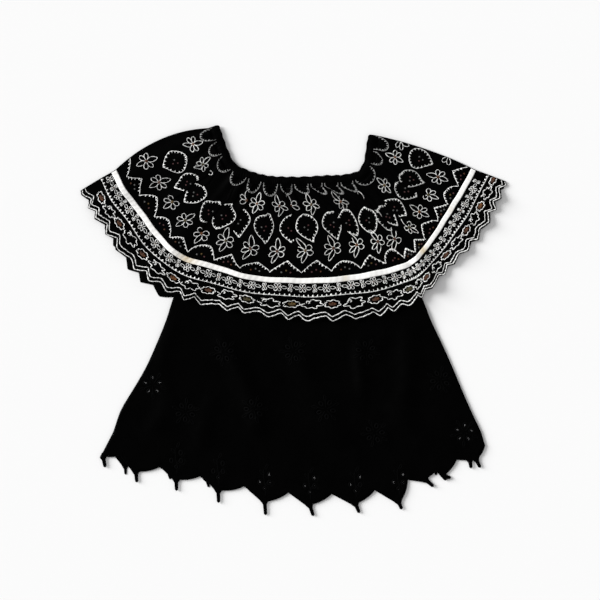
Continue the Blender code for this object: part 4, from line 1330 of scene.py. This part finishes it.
def add_light():
    """Soft sun from the upper left, which shines along its direction, and an even white sky."""
    data = bpy.data.lights.new("key", "SUN")
    data.energy, data.angle = SUN_STRENGTH, np.radians(SUN_WIDTH)
    light = bpy.data.objects.new("key", data)
    light.rotation_euler = Vector(SUN_DIRECTION).to_track_quat("-Z", "Y").to_euler()
    bpy.context.scene.collection.objects.link(light)
    world = bpy.data.worlds.new("studio")
    world.use_nodes = True
    sky = world.node_tree.nodes["Background"]
    sky.inputs["Color"].default_value = (1.0, 1.0, 1.0, 1.0)
    sky.inputs["Strength"].default_value = SKY_STRENGTH
    bpy.context.scene.world = world


def add_camera():
    """Camera straight above, 0.9 m of the floor across."""
    data = bpy.data.cameras.new("camera")
    data.lens, data.sensor_width = LENS, SENSOR_WIDTH
    camera = bpy.data.objects.new("camera", data)
    camera.location = CAMERA_PLACE
    bpy.context.scene.collection.objects.link(camera)
    bpy.context.scene.camera = camera


def build():
    """The whole scene."""
    black, body_black = cotton("black_cotton", WORN_COTTON), cotton("body_black_cotton", WORN_BODY)
    # The last number of each thread is how far its tint darkens in the painted shade of its twist grooves
    white = thread("white_thread", pitch=0.9, roughness=0.6, specular=0.25, bump=0.5, groove_shade=0.88)
    satin = thread("satin_thread", pitch=0.35, roughness=0.5, specular=0.2, bump=0.6, groove_shade=0.35)
    black_satin = thread("black_satin", pitch=0.8, roughness=0.6, specular=0.02, bump=0.5, groove_shade=0.80)
    front = add_flounce_front(black)
    back = add_flounce_back(black)
    tape = add_tape(ribbon("white_ribbon"))
    sewn = add_embroidery(white, satin)
    edge = add_flounce_edge(black_satin)
    front_line = body_outline(hem(FRONT_HEM, FRONT_CORNER, HEM_SHARES))
    back_line = body_outline(hem(BACK_HEM, BACK_CORNER, HEM_SHARES), back=True)
    body_front = add_panel("body_front_cloth", front_line, eyelets(), FRONT_CELL, body_front_level,
                           body_black, "body_front")
    body_back = add_panel("body_back_cloth", back_line, eyelets(back=True), BACK_CELL, body_back_level,
                          body_black, "body_back")
    body_sewing = add_body_sewing(black_satin)
    casing_front = add_casing("casing_front_cloth", CASING_LEVEL, 0.0, CASING_RIPPLE, CASING_CROWN, black,
                              "casing_front")
    casing_back = add_casing("casing_back_cloth", 0.0, BACK_NECK_DROP, 0.0, 0.0, black, "casing_back")
    add_floor()
    add_camera()
    add_light()
    bpy.context.scene.view_settings.view_transform = "Standard"


build()
